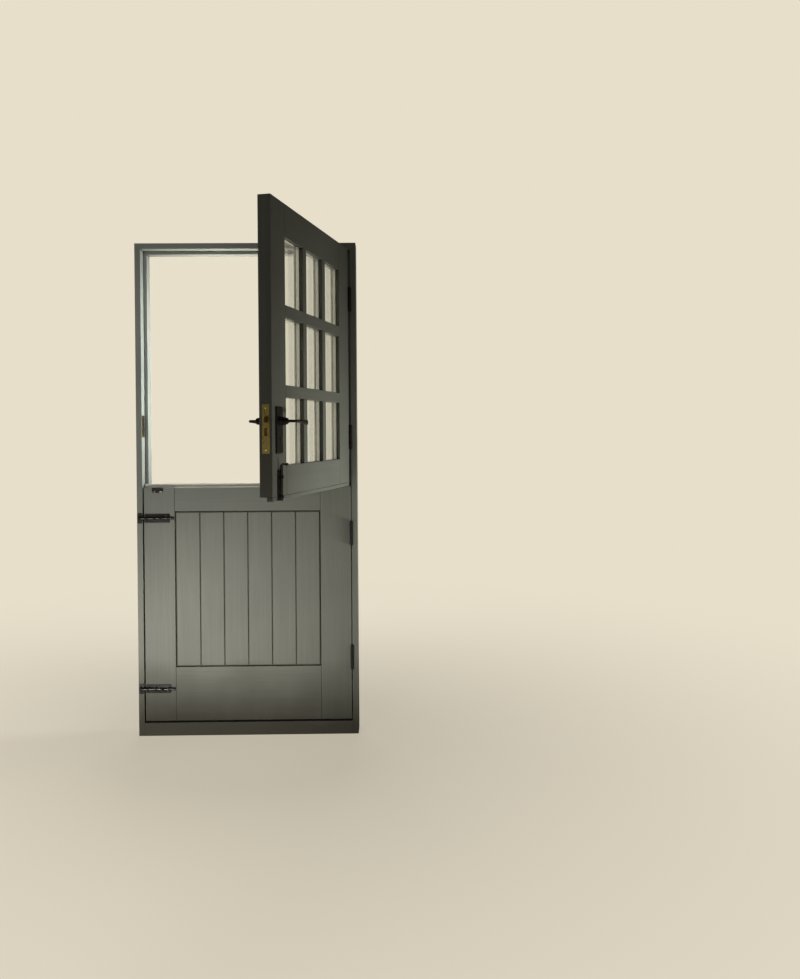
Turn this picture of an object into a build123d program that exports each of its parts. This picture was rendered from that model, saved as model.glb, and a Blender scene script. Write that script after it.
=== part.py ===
from build123d import *
import os

# A stable door in its frame, in millimetres.
# +X is to the right as seen from the room, +Y points outdoors, +Z is up.
# The origin is on the underside of the sill, midway between the jambs and
# at the middle of the frame's depth.

# Frame timbers
FRAME_DEPTH = 94.0
REBATE_WIDTH = 872.0
REBATE_HEIGHT = 1981.0
REBATE_DEPTH = 46.0
FACE_WIDTH = 24.0
STOP_WIDTH = 14.0
SILL_HEIGHT = 55.0
SILL_STOP = 14.0

# Gaps round the leaves
GAP_LATCH = 5.0
GAP_HINGE = 3.0
GAP_TOP = 3.0
GAP_BOTTOM = 8.0
GAP_MEETING = 3.0

# Leaves
LEAF_THICK = 44.0
LOWER_HEIGHT = 980.0
STILE_WIDTH = 128.0
LOWER_TOP_RAIL = 101.0
LOWER_BOTTOM_RAIL = 226.0
UPPER_TOP_RAIL = 111.0
UPPER_BOTTOM_RAIL = 101.0
OPEN_ANGLE = 76.0

# Meeting strips: the upper leaf's lip hangs on the room side, the lower
# leaf's tongue stands up behind it.
STRIP_HEIGHT = 13.0
LIP_THICK = 20.0
TONGUE_THICK = 22.0
TONGUE_SETBACK = 7.0
KERF = 3.0
KERF_RISE = 4.0

# Boards of the lower leaf
BOARD_COUNT = 6
BOARD_PITCH = 99.8
BOARD_THICK = 20.0
BOARD_RECESS = 1.0
BOARD_VEE = 3.0
BOARD_BORDER = 7.0
TONGUE_LONG = 6.0
TONGUE_DEEP = 6.0
BOARD_FIT = 0.2

# Glazing of the upper leaf
PANE_COLUMNS = 3
PANE_ROWS = 3
BAR_HEIGHT = 41.0
MUNTIN_WIDTH = 36.0
GLASS_FROM_FACE = 14.0
GLASS_THICK = 4.0
GLASS_APART = 12.0
GLASS_REBATE = 8.0
GLASS_EDGE_GAP = 1.0
BEAD_SETBACK = 2.0
BEAD_LIP = 2.0

# Butt hinges
HINGE_LENGTH = 100.0
UPPER_HINGE_DOWN = 211.0
UPPER_HINGE_UP = 189.0
LOWER_HINGE_DOWN = 198.0
LOWER_HINGE_UP = 261.0
KNUCKLES = 5
KNUCKLE_R = 6.0
KNUCKLE_GAP = 0.3
PIN_R = 3.0
PIN_CAP_R = 4.5
PIN_CAP_HEIGHT = 2.5
PIN_FROM_FACE = 6.5
HINGE_PLATE = 2.5
HINGE_PLATE_DEPTH = 30.0
HINGE_PLATE_GAP = 0.3
HINGE_SCREW_STEP = 34.0
HINGE_SCREW_ZIGZAG = 5.0
RUNNING = 0.05

# How far a cutting shape runs past the face that it opens
PAST = 1.0

# Screws
SCREW_HEAD_R = 3.6
SCREW_HEAD_DEPTH = 2.0
SCREW_SHANK_R = 1.8
SCREW_LONG = 22.0
SCREW_SHORT = 16.0
SLOT_WIDTH = 0.8
SLOT_DEEP = 0.8
SMALL_HEAD_R = 2.8
SMALL_HEAD_DEPTH = 1.6
SMALL_SHANK_R = 1.4
SMALL_LONG = 12.0

# Sash lock, placed up from the lower edge of the upper leaf's timbers
LOCK_UP = 222.0
FOREND_HEIGHT = 159.0
FOREND_WIDTH = 25.0
FOREND_THICK = 3.0
FOREND_SCREW_STEP = 136.0
CASE_HEIGHT = 132.0
CASE_DEPTH = 80.0
CASE_THICK = 16.0
CASE_FIT = 0.5
BACKSET = 57.0
LEVER_ABOVE_LOCK = 25.0
LATCH_ABOVE_LOCK = 30.0
LATCH_HEIGHT = 19.0
LATCH_WIDTH = 12.0
LATCH_THROW = 12.0
LATCH_TAIL = 30.0
DEAD_BELOW_LOCK = 10.0
DEAD_HEIGHT = 28.0
DEAD_WIDTH = 10.0
DEAD_THROW = 14.0
DEAD_TAIL = 38.0
CHANNEL_SPARE = 2.0
LATCH_NOSE = 2.0
KEY_BELOW_LOCK = 32.0
KEY_R = 4.0
KEY_SLOT_WIDTH = 3.0
KEY_SLOT_LONG = 18.0
SPINDLE = 8.0
SPINDLE_HOLE_R = 5.75

# Strike plate on the latch-side jamb
STRIKE_HEIGHT = 90.0
STRIKE_WIDTH = 38.0
STRIKE_THICK = 2.0
STRIKE_ABOVE_LOCK = 17.0
STRIKE_MORTISE = 16.0
STRIKE_CLEAR = 2.0
STRIKE_SCREW_STEP = 76.0

# Backplates and levers
PLATE_WIDTH = 57.0
PLATE_HEIGHT = 152.0
PLATE_THICK = 5.0
PLATE_BELOW_LOCK = 4.5
PLATE_CHAMFER = 2.0
PLATE_CORNER = 6.0
PLATE_SCREW_X = 17.0
PLATE_SCREW_Z = 66.0
BOSS_BASE_R = 17.0
BOSS_TOP_R = 12.5
BOSS_OUT = 20.0
JOURNAL_R = 8.0
JOURNAL_START = 6.0
COLLAR_R = 12.0
COLLAR_END = 36.0
COLLAR_TAPER = 7.0
COLLAR_EASE = 3.0
NECK_R = 5.0
SPINDLE_REACH = 28.0
LEVER_OUT = 62.0
LEVER_LONG = 122.0
LEVER_THICK = 8.0
LEVER_ROOT_HALF = 4.5
LEVER_TIP_HALF = 9.0
LEVER_DROOP = 4.0
LEVER_SINK = 4.0
LEVER_EASE = 3.0
LEVER_BEND = 14.0
LEVER_ROOT_RUN = 20.0
LEVER_TIP_RUN = 12.0

# Rod bolts: one drop bolt on the upper leaf, two side bolts on the lower
ROD_R = 5.0
ROD_OUT = 9.0
BOLT_PLATE = 2.5
GUIDE_OUT = 16.0
GUIDE_WIDTH = 18.0
GUIDE_CHAMFER = 4.0
KEEP_BORE_R = 5.6
KNOB_R = 5.0
KNOB_NECK_R = 3.2
TAIL_R = 6.0
KEEP_SCREW_INSET = 5.0
DROP_FROM_EDGE = 58.0
DROP_PLATE_WIDTH = 32.0
DROP_PLATE_HEIGHT = 100.0
DROP_GUIDES = ((8.0, 10.0), (72.0, 10.0))
DROP_SCREW_INSET = 4.5
DROP_SCREW_LOW = 30.0
DROP_SCREW_TOP = 8.0
DROP_ROD_LONG = 119.0
DROP_KNOB_OUT = 28.0
DROP_THROW = 22.0
DROP_KEEP_WIDTH = 44.0
DROP_KEEP_HEIGHT = 18.0
DROP_KEEP_BELOW = 3.0
DROP_KEEP_SCREW_INSET = 6.0
SIDE_BOLT_DOWN = 129.0
SIDE_BOLT_UP = 136.0
SIDE_PLATE_LONG = 104.0
SIDE_PLATE_HEIGHT = 35.0
SIDE_PLATE_FROM_EDGE = 3.0
SIDE_SCREW_LEFT = 22.0
SIDE_SCREW_RIGHT = 16.0
SIDE_GUIDES = ((5.0, 10.0), (40.0, 8.0), (96.0, 8.0))
SIDE_ROD_OVER = 18.0
SIDE_ROD_LONG = 139.0
SIDE_KNOB_FROM_EDGE = 73.0
SIDE_KNOB_OUT = 22.0
SIDE_THROW = 20.0
SIDE_KEEP_LONG = 18.0
SIDE_KEEP_HEIGHT = 41.0
SIDE_KEEP_FROM_CHEEK = 2.0
SIDE_KEEP_BLOCK = 12.0

# Places that follow from the sizes
ROOM_Y = -FRAME_DEPTH / 2
CHEEK_X = REBATE_WIDTH / 2
OUTER_X = CHEEK_X + FACE_WIDTH
STOP_X = CHEEK_X - STOP_WIDTH
HEAD_Z = SILL_HEIGHT + REBATE_HEIGHT
TOP_Z = HEAD_Z + FACE_WIDTH
LEAF_X0 = -CHEEK_X + GAP_LATCH
LEAF_X1 = CHEEK_X - GAP_HINGE
LEAF_BACK_Y = ROOM_Y + LEAF_THICK
LEAF_MID_Y = ROOM_Y + LEAF_THICK / 2
LOWER_Z0 = SILL_HEIGHT + GAP_BOTTOM
LOWER_Z1 = LOWER_Z0 + LOWER_HEIGHT
LIP_Z = LOWER_Z1 + GAP_MEETING
UPPER_Z0 = LIP_Z + STRIP_HEIGHT
UPPER_Z1 = HEAD_Z - GAP_TOP
HINGE_CENTRES_UPPER = (UPPER_Z1 - UPPER_HINGE_DOWN, UPPER_Z0 + UPPER_HINGE_UP)
HINGE_CENTRES_LOWER = (LOWER_Z1 - LOWER_HINGE_DOWN, LOWER_Z0 + LOWER_HINGE_UP)
SIDE_BOLT_Z = (LOWER_Z1 - SIDE_BOLT_DOWN, LOWER_Z0 + SIDE_BOLT_UP)
LOCK_CENTRE_Z = UPPER_Z0 + LOCK_UP
LEVER_Z = LOCK_CENTRE_Z + LEVER_ABOVE_LOCK
LATCH_Z = LOCK_CENTRE_Z + LATCH_ABOVE_LOCK
DEAD_Z = LOCK_CENTRE_Z - DEAD_BELOW_LOCK
KEY_Z = LOCK_CENTRE_Z - KEY_BELOW_LOCK
STRIKE_Z = LOCK_CENTRE_Z + STRIKE_ABOVE_LOCK
PLATE_Z = LOCK_CENTRE_Z - PLATE_BELOW_LOCK
INNER_X0 = LEAF_X0 + STILE_WIDTH
INNER_X1 = LEAF_X1 - STILE_WIDTH
GLAZED_Z0 = UPPER_Z0 + UPPER_BOTTOM_RAIL
GLAZED_Z1 = UPPER_Z1 - UPPER_TOP_RAIL
PANE_WIDTH = (INNER_X1 - INNER_X0 - (PANE_COLUMNS - 1) * MUNTIN_WIDTH) / PANE_COLUMNS
PANE_HEIGHT = (GLAZED_Z1 - GLAZED_Z0 - (PANE_ROWS - 1) * BAR_HEIGHT) / PANE_ROWS
GLASS_Y = ROOM_Y + GLASS_FROM_FACE
OUTER_GLASS_Y = GLASS_Y + GLASS_THICK + GLASS_APART
UNIT_BACK_Y = OUTER_GLASS_Y + GLASS_THICK
PIN_X = (LEAF_X1 + CHEEK_X) / 2
PIN_Y = ROOM_Y - PIN_FROM_FACE
AXIS_X = LEAF_X0 + BACKSET
DROP_X = LEAF_X0 + DROP_FROM_EDGE
SWING = Pos(PIN_X, PIN_Y, 0) * Rot(0, 0, OPEN_ANGLE) * Pos(-PIN_X, -PIN_Y, 0)

# Turns that point the +Z axis of a shape along a face normal
TO_ROOM = Rot(90, 0, 0)
TO_OUTDOORS = Rot(-90, 0, 0)
TO_RIGHT = Rot(0, 90, 0)
TO_LEFT = Rot(0, -90, 0)


def block(x0, x1, y0, y1, z0, z1):
    """A box between two corners."""
    size = Box(abs(x1 - x0), abs(y1 - y0), abs(z1 - z0))
    return Pos((x0 + x1) / 2, (y0 + y1) / 2, (z0 + z1) / 2) * size


def rod(radius, length):
    """A round bar that stands on the XY plane."""
    return Cylinder(radius, length, align=(Align.CENTER, Align.CENTER, Align.MIN))


def bar_to(place, turn, radius, length):
    """A round bar from a point, pointing along a turned +Z axis."""
    return Pos(*place) * turn * rod(radius, length)


def screw(head_r=SCREW_HEAD_R, head_deep=SCREW_HEAD_DEPTH, shank_r=SCREW_SHANK_R,
          length=SCREW_SHORT):
    """A countersunk slotted screw, its head flush with the XY plane."""
    half = Polyline((0, 0), (head_r, 0), (shank_r, -head_deep), (shank_r, -length),
                    (0, -length - shank_r), (0, 0))
    body = revolve(Plane.XZ * make_face(half), Axis.Z, 360)
    return body - block(-head_r, head_r, -SLOT_WIDTH / 2, SLOT_WIDTH / 2, -SLOT_DEEP, PAST)


def screw_hole(head_r=SCREW_HEAD_R, head_deep=SCREW_HEAD_DEPTH, shank_r=SCREW_SHANK_R,
               length=SCREW_SHORT):
    """What a countersunk screw takes out of a plate and the wood under it."""
    wide = shank_r + RUNNING
    half = Polyline((0, PAST), (head_r, PAST), (head_r, 0), (shank_r, -head_deep),
                    (wide, -head_deep), (wide, -length - 2 * shank_r),
                    (0, -length - 2 * shank_r), (0, PAST))
    return revolve(Plane.XZ * make_face(half), Axis.Z, 360)


def small_screw():
    """A small countersunk screw for bolt plates and keeps."""
    return screw(SMALL_HEAD_R, SMALL_HEAD_DEPTH, SMALL_SHANK_R, SMALL_LONG)


def small_hole():
    """The hole of a small countersunk screw."""
    return screw_hole(SMALL_HEAD_R, SMALL_HEAD_DEPTH, SMALL_SHANK_R, SMALL_LONG)


def placed(shape, places):
    """Copies of a shape, one at each place."""
    return [place * shape for place in places]


def frame_section(part_x0, part_x1, z0, z1, stop_z0, stop_z1, stop_x0, stop_x1):
    """A rebated timber: the face part and, behind the rebate, the stop part."""
    face = block(part_x0, part_x1, ROOM_Y, ROOM_Y + REBATE_DEPTH, z0, z1)
    stop = block(stop_x0, stop_x1, ROOM_Y + REBATE_DEPTH, ROOM_Y + FRAME_DEPTH,
                 stop_z0, stop_z1)
    return face + stop


def hinge_screw_places(z, out_x, turn):
    """Where the three screws of one hinge half go in, zigzag down the plate."""
    middle = ROOM_Y + HINGE_PLATE_DEPTH / 2
    places = []
    for i in (-1, 0, 1):
        y = middle + HINGE_SCREW_ZIGZAG * (1 if i else -1)
        places.append(Pos(out_x, y, z + i * HINGE_SCREW_STEP) * turn)
    return places


def frame_hinge_places():
    """The screws of the four hinge halves on the jamb."""
    x = PIN_X + HINGE_PLATE_GAP
    places = []
    for z in HINGE_CENTRES_UPPER + HINGE_CENTRES_LOWER:
        places += hinge_screw_places(z, x, TO_LEFT)
    return places


def leaf_hinge_places(centres):
    """The screws of the hinge halves on one leaf."""
    x = PIN_X - HINGE_PLATE_GAP
    places = []
    for z in centres:
        places += hinge_screw_places(z, x, TO_RIGHT)
    return places


def hinge_recess(z, side):
    """The shallow seat of one hinge half: side 1 in the jamb, -1 in the leaf."""
    near = PIN_X + side * (HINGE_PLATE_GAP + HINGE_PLATE)
    far = PIN_X
    return block(near, far, ROOM_Y - PAST, ROOM_Y + HINGE_PLATE_DEPTH,
                 z - HINGE_LENGTH / 2, z + HINGE_LENGTH / 2)


def strike_openings(grow, x0, x1):
    """The holes that the latch and the dead bolt shoot into."""
    latch = block(x0, x1, LEAF_MID_Y - LATCH_WIDTH / 2 - grow,
                  LEAF_MID_Y + LATCH_WIDTH / 2 + grow,
                  LATCH_Z - LATCH_HEIGHT / 2 - grow, LATCH_Z + LATCH_HEIGHT / 2 + grow)
    dead = block(x0, x1, LEAF_MID_Y - DEAD_WIDTH / 2 - grow,
                 LEAF_MID_Y + DEAD_WIDTH / 2 + grow,
                 DEAD_Z - DEAD_HEIGHT / 2 - grow, DEAD_Z + DEAD_HEIGHT / 2 + grow)
    return latch, dead


def strike_screw_places():
    """The two screws of the strike plate, above and below its openings."""
    x = -CHEEK_X
    half = STRIKE_SCREW_STEP / 2
    return [Pos(x, LEAF_MID_Y, STRIKE_Z + s * half) * TO_RIGHT for s in (-1, 1)]


def strike_plate():
    """The brass plate let flush into the latch-side jamb."""
    plate = block(-CHEEK_X - STRIKE_THICK, -CHEEK_X, LEAF_MID_Y - STRIKE_WIDTH / 2,
                  LEAF_MID_Y + STRIKE_WIDTH / 2, STRIKE_Z - STRIKE_HEIGHT / 2,
                  STRIKE_Z + STRIKE_HEIGHT / 2)
    latch, dead = strike_openings(STRIKE_CLEAR, -CHEEK_X - STRIKE_THICK - PAST,
                                  -CHEEK_X + PAST)
    plate = plate - latch - dead
    for place in strike_screw_places():
        plate = plate - place * screw_hole()
    return plate


def keep_screw_places():
    """Two screws in each side-bolt keep, above and below its staple."""
    x = -CHEEK_X - SIDE_KEEP_FROM_CHEEK - SIDE_KEEP_LONG / 2
    step = SIDE_KEEP_HEIGHT / 2 - KEEP_SCREW_INSET
    return [Pos(x, ROOM_Y - BOLT_PLATE, z + s * step) * TO_ROOM
            for z in SIDE_BOLT_Z for s in (-1, 1)]


def latch_jamb():
    """The jamb that the leaves close against, mortised for the lock."""
    jamb = frame_section(-OUTER_X, -CHEEK_X, 0, HEAD_Z, 0, HEAD_Z - STOP_WIDTH,
                         -OUTER_X, -STOP_X)
    seat = block(-CHEEK_X - STRIKE_THICK, -CHEEK_X + PAST, LEAF_MID_Y - STRIKE_WIDTH / 2,
                 LEAF_MID_Y + STRIKE_WIDTH / 2, STRIKE_Z - STRIKE_HEIGHT / 2,
                 STRIKE_Z + STRIKE_HEIGHT / 2)
    latch, dead = strike_openings(STRIKE_CLEAR, -CHEEK_X - STRIKE_MORTISE,
                                  -CHEEK_X + PAST)
    jamb = jamb - seat - latch - dead
    for place in strike_screw_places():
        jamb = jamb - place * screw_hole()
    for place in keep_screw_places():
        jamb = jamb - place * small_hole()
    return jamb


def hinge_jamb():
    """The jamb that carries the four hinges."""
    jamb = frame_section(CHEEK_X, OUTER_X, 0, HEAD_Z, 0, HEAD_Z - STOP_WIDTH,
                         STOP_X, OUTER_X)
    for z in HINGE_CENTRES_UPPER + HINGE_CENTRES_LOWER:
        jamb = jamb - hinge_recess(z, 1)
    for place in frame_hinge_places():
        jamb = jamb - place * screw_hole()
    return jamb


def head():
    """The rebated timber across the top of both jambs."""
    return frame_section(-OUTER_X, OUTER_X, HEAD_Z, TOP_Z, HEAD_Z - STOP_WIDTH, TOP_Z,
                         -OUTER_X, OUTER_X)


def sill():
    """The bottom timber between the jambs, with its stop behind the leaf."""
    return frame_section(-CHEEK_X, CHEEK_X, 0, SILL_HEIGHT, 0, SILL_HEIGHT + SILL_STOP,
                         -STOP_X, STOP_X)


def hinge_half(z, side):
    """One half of a butt hinge: plate, tabs and its share of the knuckles."""
    x0 = PIN_X + side * HINGE_PLATE_GAP
    x1 = x0 + side * HINGE_PLATE
    bottom = z - HINGE_LENGTH / 2
    half = block(x0, x1, ROOM_Y, ROOM_Y + HINGE_PLATE_DEPTH, bottom, bottom + HINGE_LENGTH)
    tall = HINGE_LENGTH / KNUCKLES
    for i in range(KNUCKLES):
        mine = i % 2 == 0 if side > 0 else i % 2 == 1
        if mine:
            low = bottom + i * tall
            high = low + tall - (0 if side > 0 else KNUCKLE_GAP)
            half = half + block(x0, x1, PIN_Y, ROOM_Y, low, high)
            half = half + bar_to((PIN_X, PIN_Y, low), Rot(0, 0, 0), KNUCKLE_R, high - low)
    half = half - bar_to((PIN_X, PIN_Y, bottom - PAST), Rot(0, 0, 0), PIN_R + RUNNING,
                         HINGE_LENGTH + 2 * PAST)
    turn = TO_LEFT if side > 0 else TO_RIGHT
    for place in hinge_screw_places(z, x0, turn):
        half = half - place * screw_hole()
    return half


def hinge_pin(z):
    """A hinge pin with a low button at each end."""
    low = z - HINGE_LENGTH / 2
    pin = bar_to((PIN_X, PIN_Y, low), Rot(0, 0, 0), PIN_R, HINGE_LENGTH)
    cap = rod(PIN_CAP_R, PIN_CAP_HEIGHT)
    cap = chamfer(cap.edges().group_by(Axis.Z)[-1], PIN_CAP_HEIGHT / 2)
    pin = pin + Pos(PIN_X, PIN_Y, low + HINGE_LENGTH) * cap
    return pin + Pos(PIN_X, PIN_Y, low) * Rot(180, 0, 0) * cap


def rod_guide(length, bore_r):
    """A block on a plate with a bore along +Z, for a rod bolt to run in."""
    out = GUIDE_OUT - BOLT_PLATE
    guide = Box(GUIDE_WIDTH, out, length, align=(Align.CENTER, Align.MIN, Align.MIN))
    guide = chamfer(guide.edges().filter_by(Axis.Z).group_by(Axis.Y)[-1], GUIDE_CHAMFER)
    bore = Pos(0, ROD_OUT - BOLT_PLATE, -PAST) * rod(bore_r, length + 2 * PAST)
    return guide - bore


def side_keep(z):
    """The keep on the jamb's face that a side bolt shoots into."""
    x1 = -CHEEK_X - SIDE_KEEP_FROM_CHEEK
    keep = block(x1 - SIDE_KEEP_LONG, x1, ROOM_Y - BOLT_PLATE, ROOM_Y,
                 z - SIDE_KEEP_HEIGHT / 2, z + SIDE_KEEP_HEIGHT / 2)
    spare = (SIDE_KEEP_LONG - SIDE_KEEP_BLOCK) / 2
    turn = Rot(0, 90, 0) * Rot(0, 0, 180)
    seat = Pos(x1 - SIDE_KEEP_LONG + spare, ROOM_Y - BOLT_PLATE, z)
    keep = keep + seat * turn * rod_guide(SIDE_KEEP_BLOCK, KEEP_BORE_R)
    for place in keep_screw_places():
        keep = keep - place * small_hole()
    return keep


def lock_pocket(grow):
    """The mortise for the lock case, from the leaf's edge inwards."""
    return block(LEAF_X0 + FOREND_THICK - grow, LEAF_X0 + CASE_DEPTH + grow,
                 LEAF_MID_Y - CASE_THICK / 2 - grow, LEAF_MID_Y + CASE_THICK / 2 + grow,
                 LOCK_CENTRE_Z - CASE_HEIGHT / 2 - grow,
                 LOCK_CENTRE_Z + CASE_HEIGHT / 2 + grow)


def forend_seat(inner_x):
    """The shallow seat of the forend in the leaf's edge."""
    return block(LEAF_X0 - PAST, inner_x, LEAF_MID_Y - FOREND_WIDTH / 2,
                 LEAF_MID_Y + FOREND_WIDTH / 2, LOCK_CENTRE_Z - FOREND_HEIGHT / 2,
                 LOCK_CENTRE_Z + FOREND_HEIGHT / 2)


def forend_screw_places():
    """The two screws of the forend."""
    return [Pos(LEAF_X0, LEAF_MID_Y, LOCK_CENTRE_Z + s * FOREND_SCREW_STEP / 2) * TO_LEFT
            for s in (-1, 1)]


def plate_screw_places():
    """Four screws in each backplate, on the room side and outdoors."""
    places = []
    for sx in (-1, 1):
        for sz in (-1, 1):
            x = AXIS_X + sx * PLATE_SCREW_X
            z = PLATE_Z + sz * PLATE_SCREW_Z
            places.append(Pos(x, ROOM_Y - PLATE_THICK, z) * TO_ROOM)
            places.append(Pos(x, LEAF_BACK_Y + PLATE_THICK, z) * TO_OUTDOORS)
    return places


def key_hole():
    """A keyhole right through the leaf: a round hole with a slot below it."""
    y0 = ROOM_Y - PLATE_THICK - PAST
    deep = LEAF_THICK + 2 * (PLATE_THICK + PAST)
    hole = bar_to((AXIS_X, y0, KEY_Z), TO_OUTDOORS, KEY_R, deep)
    return hole + block(AXIS_X - KEY_SLOT_WIDTH / 2, AXIS_X + KEY_SLOT_WIDTH / 2, y0,
                        y0 + deep, KEY_Z - KEY_SLOT_LONG, KEY_Z)


def spindle_hole(radius):
    """A round hole for the spindle right through the leaf and its plates."""
    return bar_to((AXIS_X, ROOM_Y - BOSS_OUT - PAST, LEVER_Z), TO_OUTDOORS, radius,
                  LEAF_THICK + 2 * (BOSS_OUT + PAST))


def drop_plate_screw_places():
    """Four corner screws of the drop bolt's plate."""
    half = DROP_PLATE_WIDTH / 2 - DROP_SCREW_INSET
    heights = (DROP_SCREW_LOW, DROP_PLATE_HEIGHT - DROP_SCREW_TOP)
    return [Pos(DROP_X + sx * half, ROOM_Y - BOLT_PLATE, LIP_Z + z) * TO_ROOM
            for sx in (-1, 1) for z in heights]


def glazed_stile(x0, x1, inner, sign):
    """An upper stile, rebated from outdoors along its glazed side."""
    stile = block(x0, x1, ROOM_Y, LEAF_BACK_Y, UPPER_Z0, UPPER_Z1)
    rebate = block(inner, inner + sign * GLASS_REBATE, GLASS_Y, LEAF_BACK_Y + PAST,
                   GLAZED_Z0 - GLASS_REBATE, GLAZED_Z1 + GLASS_REBATE)
    return stile - rebate


def upper_latch_stile():
    """The stile that holds the lock."""
    stile = glazed_stile(LEAF_X0, INNER_X0, INNER_X0, -1)
    stile = stile - lock_pocket(CASE_FIT) - forend_seat(LEAF_X0 + FOREND_THICK)
    stile = stile - key_hole() - spindle_hole(SPINDLE_HOLE_R)
    for place in forend_screw_places() + plate_screw_places():
        stile = stile - place * screw_hole()
    for place in drop_plate_screw_places():
        stile = stile - place * small_hole()
    return stile


def upper_hinge_stile():
    """The stile that the upper leaf hangs by."""
    stile = glazed_stile(INNER_X1, LEAF_X1, INNER_X1, 1)
    for z in HINGE_CENTRES_UPPER:
        stile = stile - hinge_recess(z, -1)
    for place in leaf_hinge_places(HINGE_CENTRES_UPPER):
        stile = stile - place * screw_hole()
    return stile


def upper_top_rail():
    """The top rail, rebated for the glass along its lower edge."""
    rail = block(INNER_X0, INNER_X1, ROOM_Y, LEAF_BACK_Y, GLAZED_Z1, UPPER_Z1)
    return rail - block(INNER_X0 - PAST, INNER_X1 + PAST, GLASS_Y, LEAF_BACK_Y + PAST,
                        GLAZED_Z1 - PAST, GLAZED_Z1 + GLASS_REBATE)


def upper_bottom_rail():
    """The bottom rail, rebated for the glass along its upper edge."""
    rail = block(INNER_X0, INNER_X1, ROOM_Y, LEAF_BACK_Y, UPPER_Z0, GLAZED_Z0)
    return rail - block(INNER_X0 - PAST, INNER_X1 + PAST, GLASS_Y, LEAF_BACK_Y + PAST,
                        GLAZED_Z0 - GLASS_REBATE, GLAZED_Z0 + PAST)


def upper_meeting_strip():
    """The lip under the upper leaf, on the room side."""
    strip = block(LEAF_X0, LEAF_X1, ROOM_Y, ROOM_Y + LIP_THICK, LIP_Z, UPPER_Z0)
    for place in drop_plate_screw_places():
        strip = strip - place * small_hole()
    return strip


def pane_low(row):
    """The lower edge of a pane row's opening."""
    return GLAZED_Z0 + row * (PANE_HEIGHT + BAR_HEIGHT)


def pane_left(column):
    """The left edge of a pane column's opening."""
    return INNER_X0 + column * (PANE_WIDTH + MUNTIN_WIDTH)


def glazing_bars():
    """The level bars between the stiles, one between each two pane rows."""
    bars = []
    for row in range(1, PANE_ROWS):
        z1 = pane_low(row)
        z0 = z1 - BAR_HEIGHT
        front = block(INNER_X0, INNER_X1, ROOM_Y, GLASS_Y, z0, z1)
        web = block(INNER_X0 - GLASS_REBATE, INNER_X1 + GLASS_REBATE, GLASS_Y, LEAF_BACK_Y,
                    z0 + GLASS_REBATE, z1 - GLASS_REBATE)
        bars.append(front + web)
    return bars


def muntins():
    """The short upright bars between each two panes of a row."""
    pieces = []
    for row in range(PANE_ROWS):
        z0 = pane_low(row)
        z1 = z0 + PANE_HEIGHT
        for column in range(1, PANE_COLUMNS):
            x1 = pane_left(column)
            x0 = x1 - MUNTIN_WIDTH
            front = block(x0, x1, ROOM_Y, GLASS_Y, z0, z1)
            web = block(x0 + GLASS_REBATE, x1 - GLASS_REBATE, GLASS_Y, LEAF_BACK_Y,
                        z0 - GLASS_REBATE, z1 + GLASS_REBATE)
            pieces.append(front + web)
    return pieces


def pane_blocks(over, y0, y1):
    """A block for each opening of the glazing, larger than it by a given amount all round."""
    return [block(pane_left(column) - over, pane_left(column) + PANE_WIDTH + over, y0, y1,
                  pane_low(row) - over, pane_low(row) + PANE_HEIGHT + over)
            for row in range(PANE_ROWS) for column in range(PANE_COLUMNS)]


def panes(y):
    """One sheet of glass for each opening, its room-side face at y."""
    return pane_blocks(GLASS_REBATE - GLASS_EDGE_GAP, y, y + GLASS_THICK)


def pane_spacers():
    """The spacer frames that hold the two sheets of each sealed unit apart."""
    whole = pane_blocks(GLASS_REBATE - GLASS_EDGE_GAP, GLASS_Y + GLASS_THICK, OUTER_GLASS_Y)
    sight = pane_blocks(0, GLASS_Y, UNIT_BACK_Y)
    return [frame - hole for frame, hole in zip(whole, sight)]


def bead(length):
    """A glazing bead along +Z: its back on the rebate wall at x = 0, sloped outdoors."""
    deep = LEAF_BACK_Y - BEAD_SETBACK - UNIT_BACK_Y
    outline = Polyline((0, 0), (GLASS_REBATE, 0), (GLASS_REBATE, BEAD_LIP), (0, deep), (0, 0))
    return extrude(make_face(outline), length)


def beads():
    """Four beads round each unit, holding it from outdoors."""
    wide = PANE_WIDTH + 2 * GLASS_REBATE
    upright = bead(PANE_HEIGHT)
    level = bead(wide)
    pieces = []
    for row in range(PANE_ROWS):
        for column in range(PANE_COLUMNS):
            x0 = pane_left(column) - GLASS_REBATE
            z0 = pane_low(row) - GLASS_REBATE
            x1 = x0 + wide
            z1 = z0 + PANE_HEIGHT + 2 * GLASS_REBATE
            pieces.append(Pos(x0, UNIT_BACK_Y, z0 + GLASS_REBATE) * upright)
            pieces.append(Pos(x1, UNIT_BACK_Y, z0 + GLASS_REBATE) * mirror(upright, Plane.YZ))
            pieces.append(Pos(x1, UNIT_BACK_Y, z0) * Rot(0, -90, 0) * level)
            pieces.append(Pos(x0, UNIT_BACK_Y, z1) * Rot(0, 90, 0) * level)
    return pieces


def lock_channels():
    """The channels of the latch and the dead bolt through forend and case."""
    fit = RUNNING
    latch = block(LEAF_X0 - PAST, LEAF_X0 + LATCH_TAIL + LATCH_THROW + CHANNEL_SPARE,
                  LEAF_MID_Y - LATCH_WIDTH / 2 - fit, LEAF_MID_Y + LATCH_WIDTH / 2 + fit,
                  LATCH_Z - LATCH_HEIGHT / 2 - fit, LATCH_Z + LATCH_HEIGHT / 2 + fit)
    dead = block(LEAF_X0 - PAST, LEAF_X0 + DEAD_TAIL + CHANNEL_SPARE,
                 LEAF_MID_Y - DEAD_WIDTH / 2 - fit, LEAF_MID_Y + DEAD_WIDTH / 2 + fit,
                 DEAD_Z - DEAD_HEIGHT / 2 - fit, DEAD_Z + DEAD_HEIGHT / 2 + fit)
    return latch + dead


def lock_case():
    """The steel case of the sash lock inside the stile."""
    case = lock_pocket(0) - lock_channels() - key_hole()
    return case - spindle_hole(SPINDLE_HOLE_R)


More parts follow.
